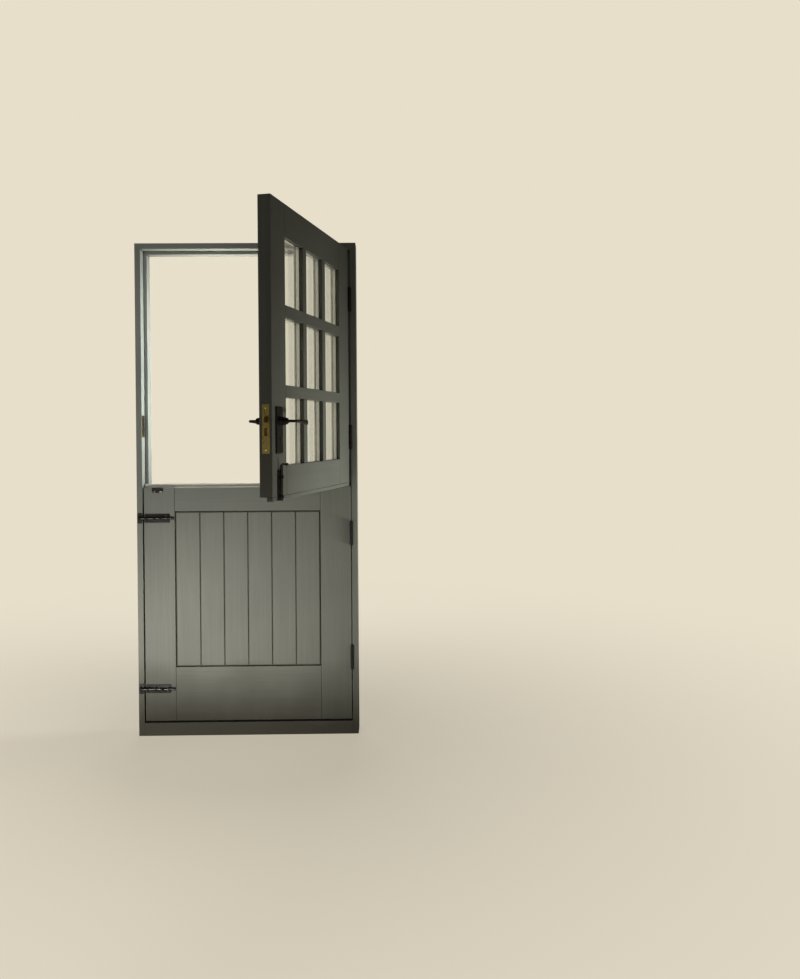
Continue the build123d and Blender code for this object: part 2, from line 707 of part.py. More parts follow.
def lock_forend():
    """The brass forend let flush into the leaf's edge."""
    plate = block(LEAF_X0, LEAF_X0 + FOREND_THICK, LEAF_MID_Y - FOREND_WIDTH / 2,
                  LEAF_MID_Y + FOREND_WIDTH / 2, LOCK_CENTRE_Z - FOREND_HEIGHT / 2,
                  LOCK_CENTRE_Z + FOREND_HEIGHT / 2)
    plate = plate - lock_channels()
    for place in forend_screw_places():
        plate = plate - place * screw_hole()
    return plate


def latch_bolt():
    """The sprung latch, bevelled on the side that meets the strike first."""
    y0 = LEAF_MID_Y - LATCH_WIDTH / 2
    y1 = LEAF_MID_Y + LATCH_WIDTH / 2
    tip = LEAF_X0 - LATCH_THROW
    outline = Polyline((tip, y0), (LEAF_X0 + LATCH_TAIL, y0), (LEAF_X0 + LATCH_TAIL, y1),
                       (LEAF_X0, y1), (tip, y0 + LATCH_NOSE), (tip, y0))
    bolt = extrude(make_face(outline), LATCH_HEIGHT)
    return Pos(0, 0, LATCH_Z - LATCH_HEIGHT / 2) * bolt


def dead_bolt():
    """The dead bolt, drawn back flush with the forend."""
    return block(LEAF_X0, LEAF_X0 + DEAD_TAIL - DEAD_THROW, LEAF_MID_Y - DEAD_WIDTH / 2,
                 LEAF_MID_Y + DEAD_WIDTH / 2, DEAD_Z - DEAD_HEIGHT / 2,
                 DEAD_Z + DEAD_HEIGHT / 2)


def outdoors(shape):
    """The same shape on the leaf's other face."""
    return mirror(shape, Plane.XZ.offset(-LEAF_MID_Y))


def backplate():
    """The room-side backplate with the boss that carries the lever."""
    plate = Box(PLATE_WIDTH, PLATE_HEIGHT, PLATE_THICK,
                align=(Align.CENTER, Align.CENTER, Align.MIN))
    plate = fillet(plate.edges().filter_by(Axis.Z), PLATE_CORNER)
    plate = chamfer(plate.edges().group_by(Axis.Z)[-1], PLATE_CHAMFER)
    plate = Pos(AXIS_X, ROOM_Y, PLATE_Z) * TO_ROOM * plate
    boss = Cone(BOSS_BASE_R, BOSS_TOP_R, BOSS_OUT,
                align=(Align.CENTER, Align.CENTER, Align.MIN))
    plate = plate + Pos(AXIS_X, ROOM_Y, LEVER_Z) * TO_ROOM * boss
    plate = plate - key_hole()
    plate = plate - bar_to((AXIS_X, ROOM_Y + PAST, LEVER_Z), TO_ROOM,
                           JOURNAL_R + RUNNING, BOSS_OUT + 2 * PAST)
    for place in plate_screw_places():
        plate = plate - place * screw_hole()
    return plate


def lever_arm():
    """The arm of a lever: its plan outline crossed with its elevation outline."""
    inner = LEVER_OUT - LEVER_THICK
    root = COLLAR_END - LEVER_SINK
    tip = LEVER_LONG - LEVER_EASE
    plan = Polyline((-NECK_R, root), (-NECK_R, inner - LEVER_SINK),
                    (LEVER_EASE - NECK_R, inner + LEVER_EASE), (2 * LEVER_EASE, LEVER_OUT),
                    (tip, LEVER_OUT), (LEVER_LONG, LEVER_OUT - LEVER_EASE),
                    (LEVER_LONG, inner + LEVER_EASE), (tip, inner), (LEVER_BEND, inner),
                    (NECK_R + LEVER_EASE, inner - LEVER_EASE),
                    (NECK_R, inner - 2 * LEVER_SINK), (NECK_R, root), (-NECK_R, root))
    tip_top = LEVER_TIP_HALF - LEVER_DROOP
    tip_low = -LEVER_TIP_HALF - LEVER_DROOP
    swell = LEVER_LONG - LEVER_TIP_RUN
    rise = Polyline((-NECK_R, LEVER_ROOT_HALF), (LEVER_ROOT_RUN, LEVER_ROOT_HALF),
                    (swell, tip_top), (tip, tip_top - LEVER_EASE),
                    (LEVER_LONG, -LEVER_DROOP), (tip, tip_low + LEVER_EASE),
                    (swell, tip_low), (LEVER_ROOT_RUN, -LEVER_ROOT_HALF),
                    (-NECK_R, -LEVER_ROOT_HALF), (-NECK_R, LEVER_ROOT_HALF))
    tall = 2 * (LEVER_TIP_HALF + LEVER_DROOP + PAST)
    seen_above = Pos(0, 0, -tall / 2) * extrude(mirror(make_face(plan), Plane.XZ), tall)
    seen_in_front = extrude(Plane.XZ * make_face(rise), LEVER_OUT + PAST)
    return seen_above & seen_in_front


def lever():
    """The room-side lever: journal, collar and arm, with a square hole."""
    collar_half = Polyline((0, JOURNAL_START), (JOURNAL_R, JOURNAL_START),
                           (JOURNAL_R, BOSS_OUT), (COLLAR_R, BOSS_OUT),
                           (COLLAR_R, COLLAR_END - COLLAR_TAPER),
                           (COLLAR_R - COLLAR_EASE, COLLAR_END - COLLAR_EASE),
                           (NECK_R, COLLAR_END), (0, COLLAR_END), (0, JOURNAL_START))
    collar = revolve(Plane.XZ * make_face(collar_half), Axis.Z, 360)
    handle = TO_ROOM * collar + lever_arm()
    handle = Pos(AXIS_X, ROOM_Y, LEVER_Z) * handle
    return handle - block(AXIS_X - SPINDLE / 2, AXIS_X + SPINDLE / 2,
                          ROOM_Y - SPINDLE_REACH, ROOM_Y, LEVER_Z - SPINDLE / 2,
                          LEVER_Z + SPINDLE / 2)


def spindle():
    """The square bar that joins the two levers through the lock."""
    return block(AXIS_X - SPINDLE / 2, AXIS_X + SPINDLE / 2, ROOM_Y - SPINDLE_REACH,
                 LEAF_BACK_Y + SPINDLE_REACH, LEVER_Z - SPINDLE / 2,
                 LEVER_Z + SPINDLE / 2)


def drop_bolt_plate():
    """The plate and two guides of the drop bolt on the upper leaf."""
    plate = block(DROP_X - DROP_PLATE_WIDTH / 2, DROP_X + DROP_PLATE_WIDTH / 2,
                  ROOM_Y - BOLT_PLATE, ROOM_Y, LIP_Z, LIP_Z + DROP_PLATE_HEIGHT)
    for low, length in DROP_GUIDES:
        guide = Rot(0, 0, 180) * rod_guide(length, ROD_R + RUNNING)
        plate = plate + Pos(DROP_X, ROOM_Y - BOLT_PLATE, LIP_Z + low) * guide
    for place in drop_plate_screw_places():
        plate = plate - place * small_hole()
    return plate


def drop_bolt():
    """The drop bolt's rod, cranked out at the top to a ball."""
    y = ROOM_Y - ROD_OUT
    body = bar_to((DROP_X, y, LIP_Z), Rot(0, 0, 0), ROD_R, DROP_ROD_LONG)
    top = LIP_Z + DROP_ROD_LONG
    body = body + Pos(DROP_X, y, top) * Sphere(ROD_R)
    out = DROP_KNOB_OUT - ROD_OUT
    body = body + bar_to((DROP_X, y, top), TO_ROOM, KNOB_NECK_R, out)
    return body + Pos(DROP_X, y - out, top) * Sphere(KNOB_R)


def drop_keep_screw_places():
    """One screw at each end of the drop bolt's keep."""
    x = DROP_KEEP_WIDTH / 2 - DROP_KEEP_SCREW_INSET
    z = LOWER_Z1 - DROP_KEEP_BELOW - DROP_KEEP_HEIGHT / 2
    return [Pos(DROP_X + s * x, ROOM_Y - BOLT_PLATE, z) * TO_ROOM for s in (-1, 1)]


def drop_keep():
    """The keep on the lower leaf's top rail for the drop bolt."""
    z1 = LOWER_Z1 - DROP_KEEP_BELOW
    keep = block(DROP_X - DROP_KEEP_WIDTH / 2, DROP_X + DROP_KEEP_WIDTH / 2,
                 ROOM_Y - BOLT_PLATE, ROOM_Y, z1 - DROP_KEEP_HEIGHT, z1)
    guide = Rot(0, 0, 180) * rod_guide(DROP_KEEP_HEIGHT, KEEP_BORE_R)
    keep = keep + Pos(DROP_X, ROOM_Y - BOLT_PLATE, z1 - DROP_KEEP_HEIGHT) * guide
    for place in drop_keep_screw_places():
        keep = keep - place * small_hole()
    return keep


def side_plate_screw_places():
    """Four corner screws of each side bolt's plate."""
    x0 = LEAF_X0 + SIDE_PLATE_FROM_EDGE
    half = SIDE_PLATE_HEIGHT / 2 - KEEP_SCREW_INSET
    along = (SIDE_SCREW_LEFT, SIDE_PLATE_LONG - SIDE_SCREW_RIGHT)
    return [Pos(x0 + x, ROOM_Y - BOLT_PLATE, z + s * half) * TO_ROOM
            for z in SIDE_BOLT_Z for x in along for s in (-1, 1)]


def side_bolt_plate(z):
    """The plate and guides of one side bolt on the lower leaf."""
    x0 = LEAF_X0 + SIDE_PLATE_FROM_EDGE
    plate = block(x0, x0 + SIDE_PLATE_LONG, ROOM_Y - BOLT_PLATE, ROOM_Y,
                  z - SIDE_PLATE_HEIGHT / 2, z + SIDE_PLATE_HEIGHT / 2)
    turn = Rot(0, 90, 0) * Rot(0, 0, 180)
    for start, length in SIDE_GUIDES:
        guide = turn * rod_guide(length, ROD_R + RUNNING)
        plate = plate + Pos(x0 + start, ROOM_Y - BOLT_PLATE, z) * guide
    for place in side_plate_screw_places():
        plate = plate - place * small_hole()
    return plate


def side_bolt(z):
    """A side bolt's rod, shot past the leaf's edge, with its knob and tail."""
    y = ROOM_Y - ROD_OUT
    x0 = LEAF_X0 - SIDE_ROD_OVER
    body = bar_to((x0, y, z), TO_RIGHT, ROD_R, SIDE_ROD_LONG)
    body = body + Pos(x0 + SIDE_ROD_LONG, y, z) * Sphere(TAIL_R)
    knob_x = LEAF_X0 + SIDE_KNOB_FROM_EDGE
    out = SIDE_KNOB_OUT - ROD_OUT
    body = body + bar_to((knob_x, y, z), TO_ROOM, KNOB_NECK_R, out)
    return body + Pos(knob_x, y - out, z) * Sphere(KNOB_R)


def board_outline(x0, x1, first, last):
    """The plan outline of one board with its V-joints, groove and tongue."""
    face = ROOM_Y + BOARD_RECESS
    back = face + BOARD_THICK
    slot0 = face + (BOARD_THICK - TONGUE_DEEP) / 2
    slot1 = slot0 + TONGUE_DEEP
    left = BOARD_BORDER if first else BOARD_VEE
    right = BOARD_BORDER if last else BOARD_VEE
    points = [(x0 + left, face), (x1 - right, face), (x1, face + right)]
    if not last:
        points += [(x1, slot0), (x1 + TONGUE_LONG, slot0), (x1 + TONGUE_LONG, slot1),
                   (x1, slot1)]
    points += [(x1, back), (x0, back)]
    if not first:
        deep = TONGUE_LONG + BOARD_FIT
        points += [(x0, slot1), (x0 + deep, slot1), (x0 + deep, slot0), (x0, slot0)]
    points += [(x0, face + left), (x0 + left, face)]
    return make_face(Polyline(*points))


def boards():
    """The upright boards of the lower leaf, bevelled all round the panel."""
    z0 = LOWER_Z0 + LOWER_BOTTOM_RAIL
    z1 = LOWER_Z1 - LOWER_TOP_RAIL
    face = ROOM_Y + BOARD_RECESS
    middle = (INNER_X0 + INNER_X1) / 2
    edges = [middle + (i - BOARD_COUNT / 2) * BOARD_PITCH for i in range(BOARD_COUNT + 1)]
    edges[0] = INNER_X0
    edges[-1] = INNER_X1
    wedge = make_face(Polyline((face - PAST, -PAST), (face + BOARD_BORDER, -PAST),
                               (face + BOARD_BORDER, 0), (face, BOARD_BORDER),
                               (face - PAST, BOARD_BORDER), (face - PAST, -PAST)))
    length = INNER_X1 - INNER_X0 + 2 * PAST
    bevel = Pos(INNER_X0 - PAST, 0, 0) * extrude(Plane.YZ * wedge, length)
    low = Pos(0, 0, z0) * bevel
    high = Pos(0, 0, z1) * mirror(bevel, Plane.XY)
    pieces = []
    for i in range(BOARD_COUNT):
        outline = board_outline(edges[i], edges[i + 1], i == 0, i == BOARD_COUNT - 1)
        board = Pos(0, 0, z0) * extrude(outline, z1 - z0)
        pieces.append(board - low - high)
    return pieces


def lower_latch_stile():
    """The lower leaf's stile with the side bolts."""
    stile = block(LEAF_X0, INNER_X0, ROOM_Y, LEAF_BACK_Y, LOWER_Z0, LOWER_Z1)
    for place in side_plate_screw_places() + drop_keep_screw_places():
        stile = stile - place * small_hole()
    return stile


def lower_hinge_stile():
    """The stile that the lower leaf hangs by."""
    stile = block(INNER_X1, LEAF_X1, ROOM_Y, LEAF_BACK_Y, LOWER_Z0, LOWER_Z1)
    for z in HINGE_CENTRES_LOWER:
        stile = stile - hinge_recess(z, -1)
    for place in leaf_hinge_places(HINGE_CENTRES_LOWER):
        stile = stile - place * screw_hole()
    return stile


def lower_top_rail():
    """The rail above the boards."""
    return block(INNER_X0, INNER_X1, ROOM_Y, LEAF_BACK_Y, LOWER_Z1 - LOWER_TOP_RAIL,
                 LOWER_Z1)


def lower_bottom_rail():
    """The deep rail below the boards."""
    return block(INNER_X0, INNER_X1, ROOM_Y, LEAF_BACK_Y, LOWER_Z0,
                 LOWER_Z0 + LOWER_BOTTOM_RAIL)


def lower_meeting_strip():
    """The tongue on top of the lower leaf, with a kerf along its room side."""
    y0 = LEAF_BACK_Y - TONGUE_THICK
    strip = block(LEAF_X0, LEAF_X1 - TONGUE_SETBACK, y0, LEAF_BACK_Y, LOWER_Z1,
                  LOWER_Z1 + STRIP_HEIGHT)
    return strip - block(LEAF_X0 - PAST, LEAF_X1, y0 - PAST, y0 + KERF, LOWER_Z1 + KERF_RISE,
                         LOWER_Z1 + KERF_RISE + KERF)


def frame_nodes():
    """Everything that stays still as the leaves turn."""
    centres = HINGE_CENTRES_UPPER + HINGE_CENTRES_LOWER
    return {
        "latch_jamb": latch_jamb(),
        "hinge_jamb": hinge_jamb(),
        "head": head(),
        "sill": sill(),
        "strike_plate": strike_plate(),
        "strike_screws": placed(screw(), strike_screw_places()),
        "frame_hinge_halves": [hinge_half(z, 1) for z in centres],
        "hinge_pins": [hinge_pin(z) for z in centres],
        "frame_hinge_screws": placed(screw(), frame_hinge_places()),
        "side_keeps": [side_keep(z) for z in SIDE_BOLT_Z],
        "side_keep_screws": placed(small_screw(), keep_screw_places()),
    }


def upper_nodes():
    """Everything that swings with the upper leaf, built with the leaf shut."""
    plate = backplate()
    handle = lever()
    return {
        "upper_latch_stile": upper_latch_stile(),
        "upper_hinge_stile": upper_hinge_stile(),
        "upper_top_rail": upper_top_rail(),
        "upper_bottom_rail": upper_bottom_rail(),
        "upper_meeting_strip": upper_meeting_strip(),
        "glazing_bars": glazing_bars(),
        "muntins": muntins(),
        "room_panes": panes(GLASS_Y),
        "outdoor_panes": panes(OUTER_GLASS_Y),
        "pane_spacers": pane_spacers(),
        "glazing_beads": beads(),
        "lock_case": lock_case(),
        "lock_forend": lock_forend(),
        "forend_screws": placed(screw(), forend_screw_places()),
        "room_backplate": plate,
        "outdoor_backplate": outdoors(plate),
        "backplate_screws": placed(screw(), plate_screw_places()),
        "upper_hinge_halves": [hinge_half(z, -1) for z in HINGE_CENTRES_UPPER],
        "upper_hinge_screws": placed(screw(), leaf_hinge_places(HINGE_CENTRES_UPPER)),
        "drop_bolt_plate": drop_bolt_plate(),
        "drop_bolt_screws": placed(small_screw(), drop_plate_screw_places()),
        "room_lever": handle,
        "outdoor_lever": outdoors(handle),
        "spindle": spindle(),
        "latch_bolt": latch_bolt(),
        "dead_bolt": dead_bolt(),
        "drop_bolt": drop_bolt(),
    }


def lower_nodes():
    """Everything that swings with the lower leaf."""
    return {
        "lower_latch_stile": lower_latch_stile(),
        "lower_hinge_stile": lower_hinge_stile(),
        "lower_top_rail": lower_top_rail(),
        "lower_bottom_rail": lower_bottom_rail(),
        "lower_meeting_strip": lower_meeting_strip(),
        "lower_boards": boards(),
        "lower_hinge_halves": [hinge_half(z, -1) for z in HINGE_CENTRES_LOWER],
        "lower_hinge_screws": placed(screw(), leaf_hinge_places(HINGE_CENTRES_LOWER)),
        "side_bolt_plates": [side_bolt_plate(z) for z in SIDE_BOLT_Z],
        "side_bolt_screws": placed(small_screw(), side_plate_screw_places()),
        "drop_keep": drop_keep(),
        "drop_keep_screws": placed(small_screw(), drop_keep_screw_places()),
        "side_bolt_top": side_bolt(SIDE_BOLT_Z[0]),
        "side_bolt_bottom": side_bolt(SIDE_BOLT_Z[1]),
    }


def solids_of(shape):
    """The solids of one shape or of a list of shapes."""
    shapes = shape if isinstance(shape, list) else [shape]
    return [solid for piece in shapes for solid in piece.solids()]


def write(nodes, turn=None):
    """One file per node, each a group of its solids."""
    for name, shape in nodes.items():
        solids = solids_of(shape)
        if turn is not None:
            solids = [turn * solid for solid in solids]
        group = solids[0] if len(solids) == 1 else Compound(children=solids)
        export_step(group, os.path.join("parts", name + ".step"))
        print(name, len(solids), "solids, valid", all(s.is_valid for s in solids))


os.makedirs("parts", exist_ok=True)
write(frame_nodes())
write(upper_nodes(), SWING)
write(lower_nodes())
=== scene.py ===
# %% [markdown]
# # A stable door in its frame
#
# The object is a stable door: one frame, and a door cut in two at waist height, so that the
# glazed upper leaf can stand open while the boarded lower leaf stays shut. The joinery was cut
# in CAD to its real sizes and packed with its joints. This lesson dresses it: it eases every
# arris as a plane would, turns the small ironmongery finely, mixes the paint, iron, brass and
# glass, and lights it all softly on a pale floor.
#
# The imported model comes in first.

# %% The imported door
import math

import bmesh
import bpy
import numpy as np
from mathutils import Matrix


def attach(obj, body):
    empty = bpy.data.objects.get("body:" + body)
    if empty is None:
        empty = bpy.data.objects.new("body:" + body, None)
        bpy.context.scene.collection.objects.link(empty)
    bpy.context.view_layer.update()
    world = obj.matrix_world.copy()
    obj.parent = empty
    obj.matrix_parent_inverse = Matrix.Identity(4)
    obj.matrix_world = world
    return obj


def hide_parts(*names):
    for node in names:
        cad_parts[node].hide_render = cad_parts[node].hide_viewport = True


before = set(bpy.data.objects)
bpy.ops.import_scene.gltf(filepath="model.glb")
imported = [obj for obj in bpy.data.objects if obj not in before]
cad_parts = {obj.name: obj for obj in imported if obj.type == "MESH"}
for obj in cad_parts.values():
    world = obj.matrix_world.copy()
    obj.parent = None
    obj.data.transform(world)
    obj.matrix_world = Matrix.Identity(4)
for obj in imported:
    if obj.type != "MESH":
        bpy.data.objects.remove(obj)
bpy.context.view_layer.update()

# %% [markdown]
# ## The joiner's drawing
#
# A joiner draws a door shut, in millimetres, from one face. The same is done here: small parts
# are drawn on the shut leaf, x to the right, y towards outdoors, z up. One function then brings
# a drawing to metres, and swings it open about the hinge pin where it belongs to the upper leaf.
# Swinging the finished points is simpler than drawing on a slant, and it can't drift from the
# joinery, which was turned about the same pin by the same angle.

# %% Sizes taken from the joinery, and the swing of the upper leaf
ROOM_FACE = -47.0        # the room-side face of frame and leaves
BACK_FACE = -3.0         # the outdoor face of the leaves
LEAF_MIDDLE = (ROOM_FACE + BACK_FACE) / 2
LATCH_EDGE = -431.0      # where both leaves end on the lock side
HINGE_PIN = (434.5, -53.5)
OPEN_ANGLE = math.radians(76)
LEVER_PLACE = (-374.0, 1306.0)


def from_drawing(points, open_leaf):
    """Drawing points in metres: p/1000, and on the upper leaf c + R(76 degrees)·(p - c) first."""
    points = np.array(points, float)
    if open_leaf:
        c, s = math.cos(OPEN_ANGLE), math.sin(OPEN_ANGLE)
        x, y = points[..., 0] - HINGE_PIN[0], points[..., 1] - HINGE_PIN[1]
        points[..., 0] = HINGE_PIN[0] + c * x - s * y
        points[..., 1] = HINGE_PIN[1] + s * x + c * y
    return points / 1000


def seen_from_outdoors(points):
    """The same drawing on the leaf's other face: y becomes 2·middle - y."""
    points = np.array(points, float)
    points[..., 1] = 2 * LEAF_MIDDLE - points[..., 1]
    return points


# %% [markdown]
# ## Shader helpers
#
# Each finish is a small network of nodes. Written out in full, such a network is long and hard to
# read, so one helper fills the sockets of a node, one adds a node with its settings and sockets in
# one line, and a few more give the steps that every finish repeats: arithmetic, a change of range,
# and a mix of two colours. Colours are written as a paint card gives them, from 0 to 255, and
# turned to linear light.

# %% A few words for building a finish
def linear(red, green, blue):
    """A screen colour of 0-255 as linear light: ((c + 0.055) / 1.055)^2.4, or c / 12.92 when dark."""
    c = np.array([red, green, blue], float) / 255
    c = np.where(c <= 0.04045, c / 12.92, ((c + 0.055) / 1.055) ** 2.4)
    return (*[float(v) for v in c], 1.0)


def fill(tree, node, sockets):
    """Links each socket that is given another node's output, and sets the others."""
    for key, value in sockets.items():
        if isinstance(value, bpy.types.NodeSocket):
            tree.links.new(value, node.inputs[key])
        else:
            node.inputs[key].default_value = value


def add(tree, kind, sockets=None, **settings):
    """A new shader node with its settings and sockets."""
    made = tree.nodes.new("ShaderNode" + kind)
    for key, value in settings.items():
        setattr(made, key, value)
    fill(tree, made, sockets or {})
    return made


def sums(tree, operation, a, b=0.0, clamp=False):
    """One step of arithmetic on two values."""
    return add(tree, "Math", {0: a, 1: b}, operation=operation, use_clamp=clamp).outputs[0]


def times(tree, a, b):
    """The product of two values."""
    return sums(tree, "MULTIPLY", a, b)


def ranged(tree, value, low, high, to_low=0.0, to_high=1.0):
    """A value moved from one range to another, held at its ends."""
    sockets = {"Value": value, "From Min": low, "From Max": high,
               "To Min": to_low, "To Max": to_high}
    return add(tree, "MapRange", sockets).outputs["Result"]


def mixed(tree, share, first, second, how="MIX"):
    """Two colours mixed by a share."""
    made = add(tree, "Mix", {0: share, 6: first, 7: second}, data_type="RGBA", blend_type=how)
    return made.outputs[2]


def noise(tree, where, scale, detail=3.0, roughness=0.5, distortion=0.0):
    """Soft noise between 0 and 1, with its grain in steps per metre."""
    sockets = {"Vector": where, "Scale": scale, "Detail": detail, "Roughness": roughness,
               "Distortion": distortion}
    return add(tree, "TexNoise", sockets).outputs["Fac"]


def bumped(tree, height, strength, reach):
    """The normal, tilted as if the height stood out by a reach in metres."""
    sockets = {"Height": height, "Strength": strength, "Distance": reach}
    return add(tree, "Bump", sockets).outputs[0]


def bare_material(name):
    """An empty material with one Principled shader, and its tree."""
    material = bpy.data.materials.new(name)
    material.use_nodes = True
    tree = material.node_tree
    tree.nodes.clear()
    shader = add(tree, "BsdfPrincipled")
    out = add(tree, "OutputMaterial", {"Surface": shader.outputs[0]})
    return material, tree, shader, out


def stretched(tree, open_leaf, scale):
    """Object coordinates, turned back to the shut leaf where needed, then stretched."""
    place = add(tree, "TexCoord").outputs["Object"]
    if open_leaf:
        turn = {"Vector": place, "Rotation": (0, 0, -OPEN_ANGLE)}
        place = add(tree, "Mapping", turn).outputs[0]
    return add(tree, "Mapping", {"Vector": place, "Scale": scale}).outputs[0]


def edge_share(tree, radius):
    """How near a sharp edge a point lies: 1 - n·b, where b is the normal blurred over a radius."""
    blurred = add(tree, "Bevel", {"Radius": radius}, samples=6).outputs[0]
    plain = add(tree, "NewGeometry").outputs["Normal"]
    dot = add(tree, "VectorMath", {0: blurred, 1: plain}, operation="DOT_PRODUCT")
    return sums(tree, "SUBTRACT", 1.0, dot.outputs["Value"], clamp=True)


def hollow_share(tree, reach):
    """How deep in a corner or groove a point lies: 1 less the open part of the sky round it."""
    open_part = add(tree, "AmbientOcclusion", {"Distance": reach}, samples=6).outputs["AO"]
    return sums(tree, "SUBTRACT", 1.0, open_part, clamp=True)


# %% [markdown]
# ## The paint
#
# The door is brush painted in an eggshell slate, a grey that leans to green. Seen close, such
# paint isn't even: the brush leaves fine lines along each timber, the grain of the wood lifts
# through, and it thins to the undercoat along the arrises that hands and feet rub. Painted shade
# darkens the grooves and corners, and the foot is darker, partly grime and partly painted shade.
# The top of the lower leaf carries a painted highlight, a pale band from end to end. Image
# textures could hold all that, but they stretch and need unwrapping.
# Noise drawn out along each timber does it at any distance. So every timber gets the same paint
# with its grain turned along it: upright in stiles, jambs and boards, level in rails and bars.

# %% Slate eggshell paint, one material for each direction of the brush
SLATE = linear(116, 119, 111)
SLATE_DEEP = linear(104, 108, 101)
UNDERCOAT = linear(152, 150, 136)
# The pale colour of the painted highlight along the top of the lower leaf
LEDGE_HIGHLIGHT = linear(204, 200, 186)
# The colour of painted shade in corners and grooves, and of grime with painted shade at the foot
SHADE_GRIME_COLOUR = linear(50, 47, 38)
LEDGE_Z = 1.049          # the top of the lower leaf, where the painted highlight runs

ALONG = {"upright": (1.0, 1.0, 0.035), "level": (0.035, 1.0, 1.0)}


def slate_paint(name, along, open_leaf):
    """Eggshell paint: brush lines, grain, rubbed arrises, painted shade and a painted ledge highlight."""
    material, tree, shader, _ = bare_material(name)
    even = stretched(tree, open_leaf, (1, 1, 1))
    drawn = stretched(tree, open_leaf, ALONG[along])
    brush = noise(tree, drawn, 420.0, detail=3.0, roughness=0.6)
    grain = noise(tree, drawn, 85.0, detail=4.0, roughness=0.55, distortion=0.6)
    cloud = noise(tree, even, 2.6, detail=3.0)
    peel = noise(tree, even, 900.0, detail=1.0)

    shade = sums(tree, "ADD", times(tree, cloud, 0.6), times(tree, grain, 0.4))
    colour = mixed(tree, ranged(tree, shade, 0.36, 0.64), SLATE_DEEP, SLATE)
    lines = ranged(tree, brush, 0.3, 0.7, 0.98, 1.02)
    lines = add(tree, "CombineColor", {0: lines, 1: lines, 2: lines}).outputs[0]
    colour = mixed(tree, 1.0, colour, lines, "MULTIPLY")

    patchy = ranged(tree, noise(tree, even, 34.0, detail=5.0, roughness=0.65), 0.5, 0.68)
    rubbed = times(tree, ranged(tree, edge_share(tree, 0.0025), 0.03, 0.16), patchy)
    colour = mixed(tree, times(tree, rubbed, 0.65), colour, UNDERCOAT)
    # Painted shade: darker in corners, gaps and V-joints, found by occlusion within 12 mm and 3.4 mm
    shade_and_grime = ranged(tree, hollow_share(tree, 0.012), 0.32, 0.75, 0.0, 0.85)
    shade_and_grime = sums(tree, "MAXIMUM", shade_and_grime, ranged(tree, hollow_share(tree, 0.0034), 0.1, 0.27))
    foot = add(tree, "SeparateXYZ", {"Vector": even}).outputs["Z"]
    # Darker towards the foot, partly grime and partly painted shade
    foot_shade_and_grime = sums(tree, "ADD", foot, ranged(tree, cloud, 0.3, 0.7, -0.04, 0.04))
    shade_and_grime = sums(tree, "MAXIMUM", shade_and_grime, ranged(tree, foot_shade_and_grime, 0.05, 0.32, 0.92, 0.0))
    # A painted highlight: a pale band along the top of the lower leaf, where light falls from above, with
    # the painted shade taken off there
    if along == "level" and not open_leaf:
        off = sums(tree, "ABSOLUTE", sums(tree, "SUBTRACT", foot, LEDGE_Z))
        ledge_highlight_band = ranged(tree, off, 0.0065, 0.0095, 1.0, 0.0)
        worn = times(tree, ledge_highlight_band, ranged(tree, cloud, 0.3, 0.7, 0.7, 1.0))
        colour = mixed(tree, worn, colour, LEDGE_HIGHLIGHT)
        shade_and_grime = sums(tree, "SUBTRACT", shade_and_grime, ledge_highlight_band, clamp=True)
    colour = mixed(tree, shade_and_grime, colour, SHADE_GRIME_COLOUR)
    gloss = sums(tree, "ADD", ranged(tree, brush, 0.3, 0.7, 0.43, 0.51), times(tree, shade_and_grime, 0.4))

    height = sums(tree, "ADD", times(tree, brush, 0.3), times(tree, grain, 0.7))
    height = sums(tree, "ADD", height, times(tree, peel, 0.12))
    fill(tree, shader, {"Base Color": colour, "Roughness": gloss, "Specular IOR Level": 0.32,
                        "Normal": bumped(tree, height, 0.22, 0.0006)})
    return material


PAINT = {(along, leaf_open): slate_paint("slate_" + along + "_open" * leaf_open, along, leaf_open)
         for along in ALONG for leaf_open in (False, True)}
print("paints:", [m.name for m in PAINT.values()])

# %% [markdown]
# ## Iron, brass and steel
#
# The handles, bolts and hinges are cast or forged and finished in a dull black, so light only
# catches them in soft patches where the surface is uneven, and at worn edges, where grey iron
# shows. A dark colour, a broken roughness and a hammered bump give that. The lock's face and its
# strike are brass, brushed once and gone brown with handling: two colours of metal are mixed by
# noise, and the rougher one sits where the tarnish is. The screws are newer and stay bright.

# %% Metal finishes
def black_iron(name, smooth, rough, shine):
    """Black over a hammered surface, worn to grey at its edges."""
    material, tree, shader, _ = bare_material(name)
    where = stretched(tree, False, (1, 1, 1))
    patches = noise(tree, where, 60.0, detail=4.0)
    worn = times(tree, ranged(tree, edge_share(tree, 0.0012), 0.05, 0.22), ranged(tree, patches, 0.42, 0.6))
    black = mixed(tree, ranged(tree, patches, 0.35, 0.65), linear(22, 21, 21), linear(34, 32, 30))
    colour = mixed(tree, times(tree, worn, 0.7), black, linear(96, 90, 82))
    dents = add(tree, "TexVoronoi", {"Vector": where, "Scale": 170.0, "Smoothness": 1.0},
                feature="SMOOTH_F1").outputs["Distance"]
    height = sums(tree, "ADD", dents, times(tree, noise(tree, where, 700.0, 2.0), 0.3))
    fill(tree, shader, {"Base Color": colour, "Roughness": ranged(tree, patches, 0.3, 0.7, smooth, rough),
                        "Metallic": times(tree, worn, 0.8), "Specular IOR Level": shine,
                        "Normal": bumped(tree, height, 0.5, 0.0008)})
    return material


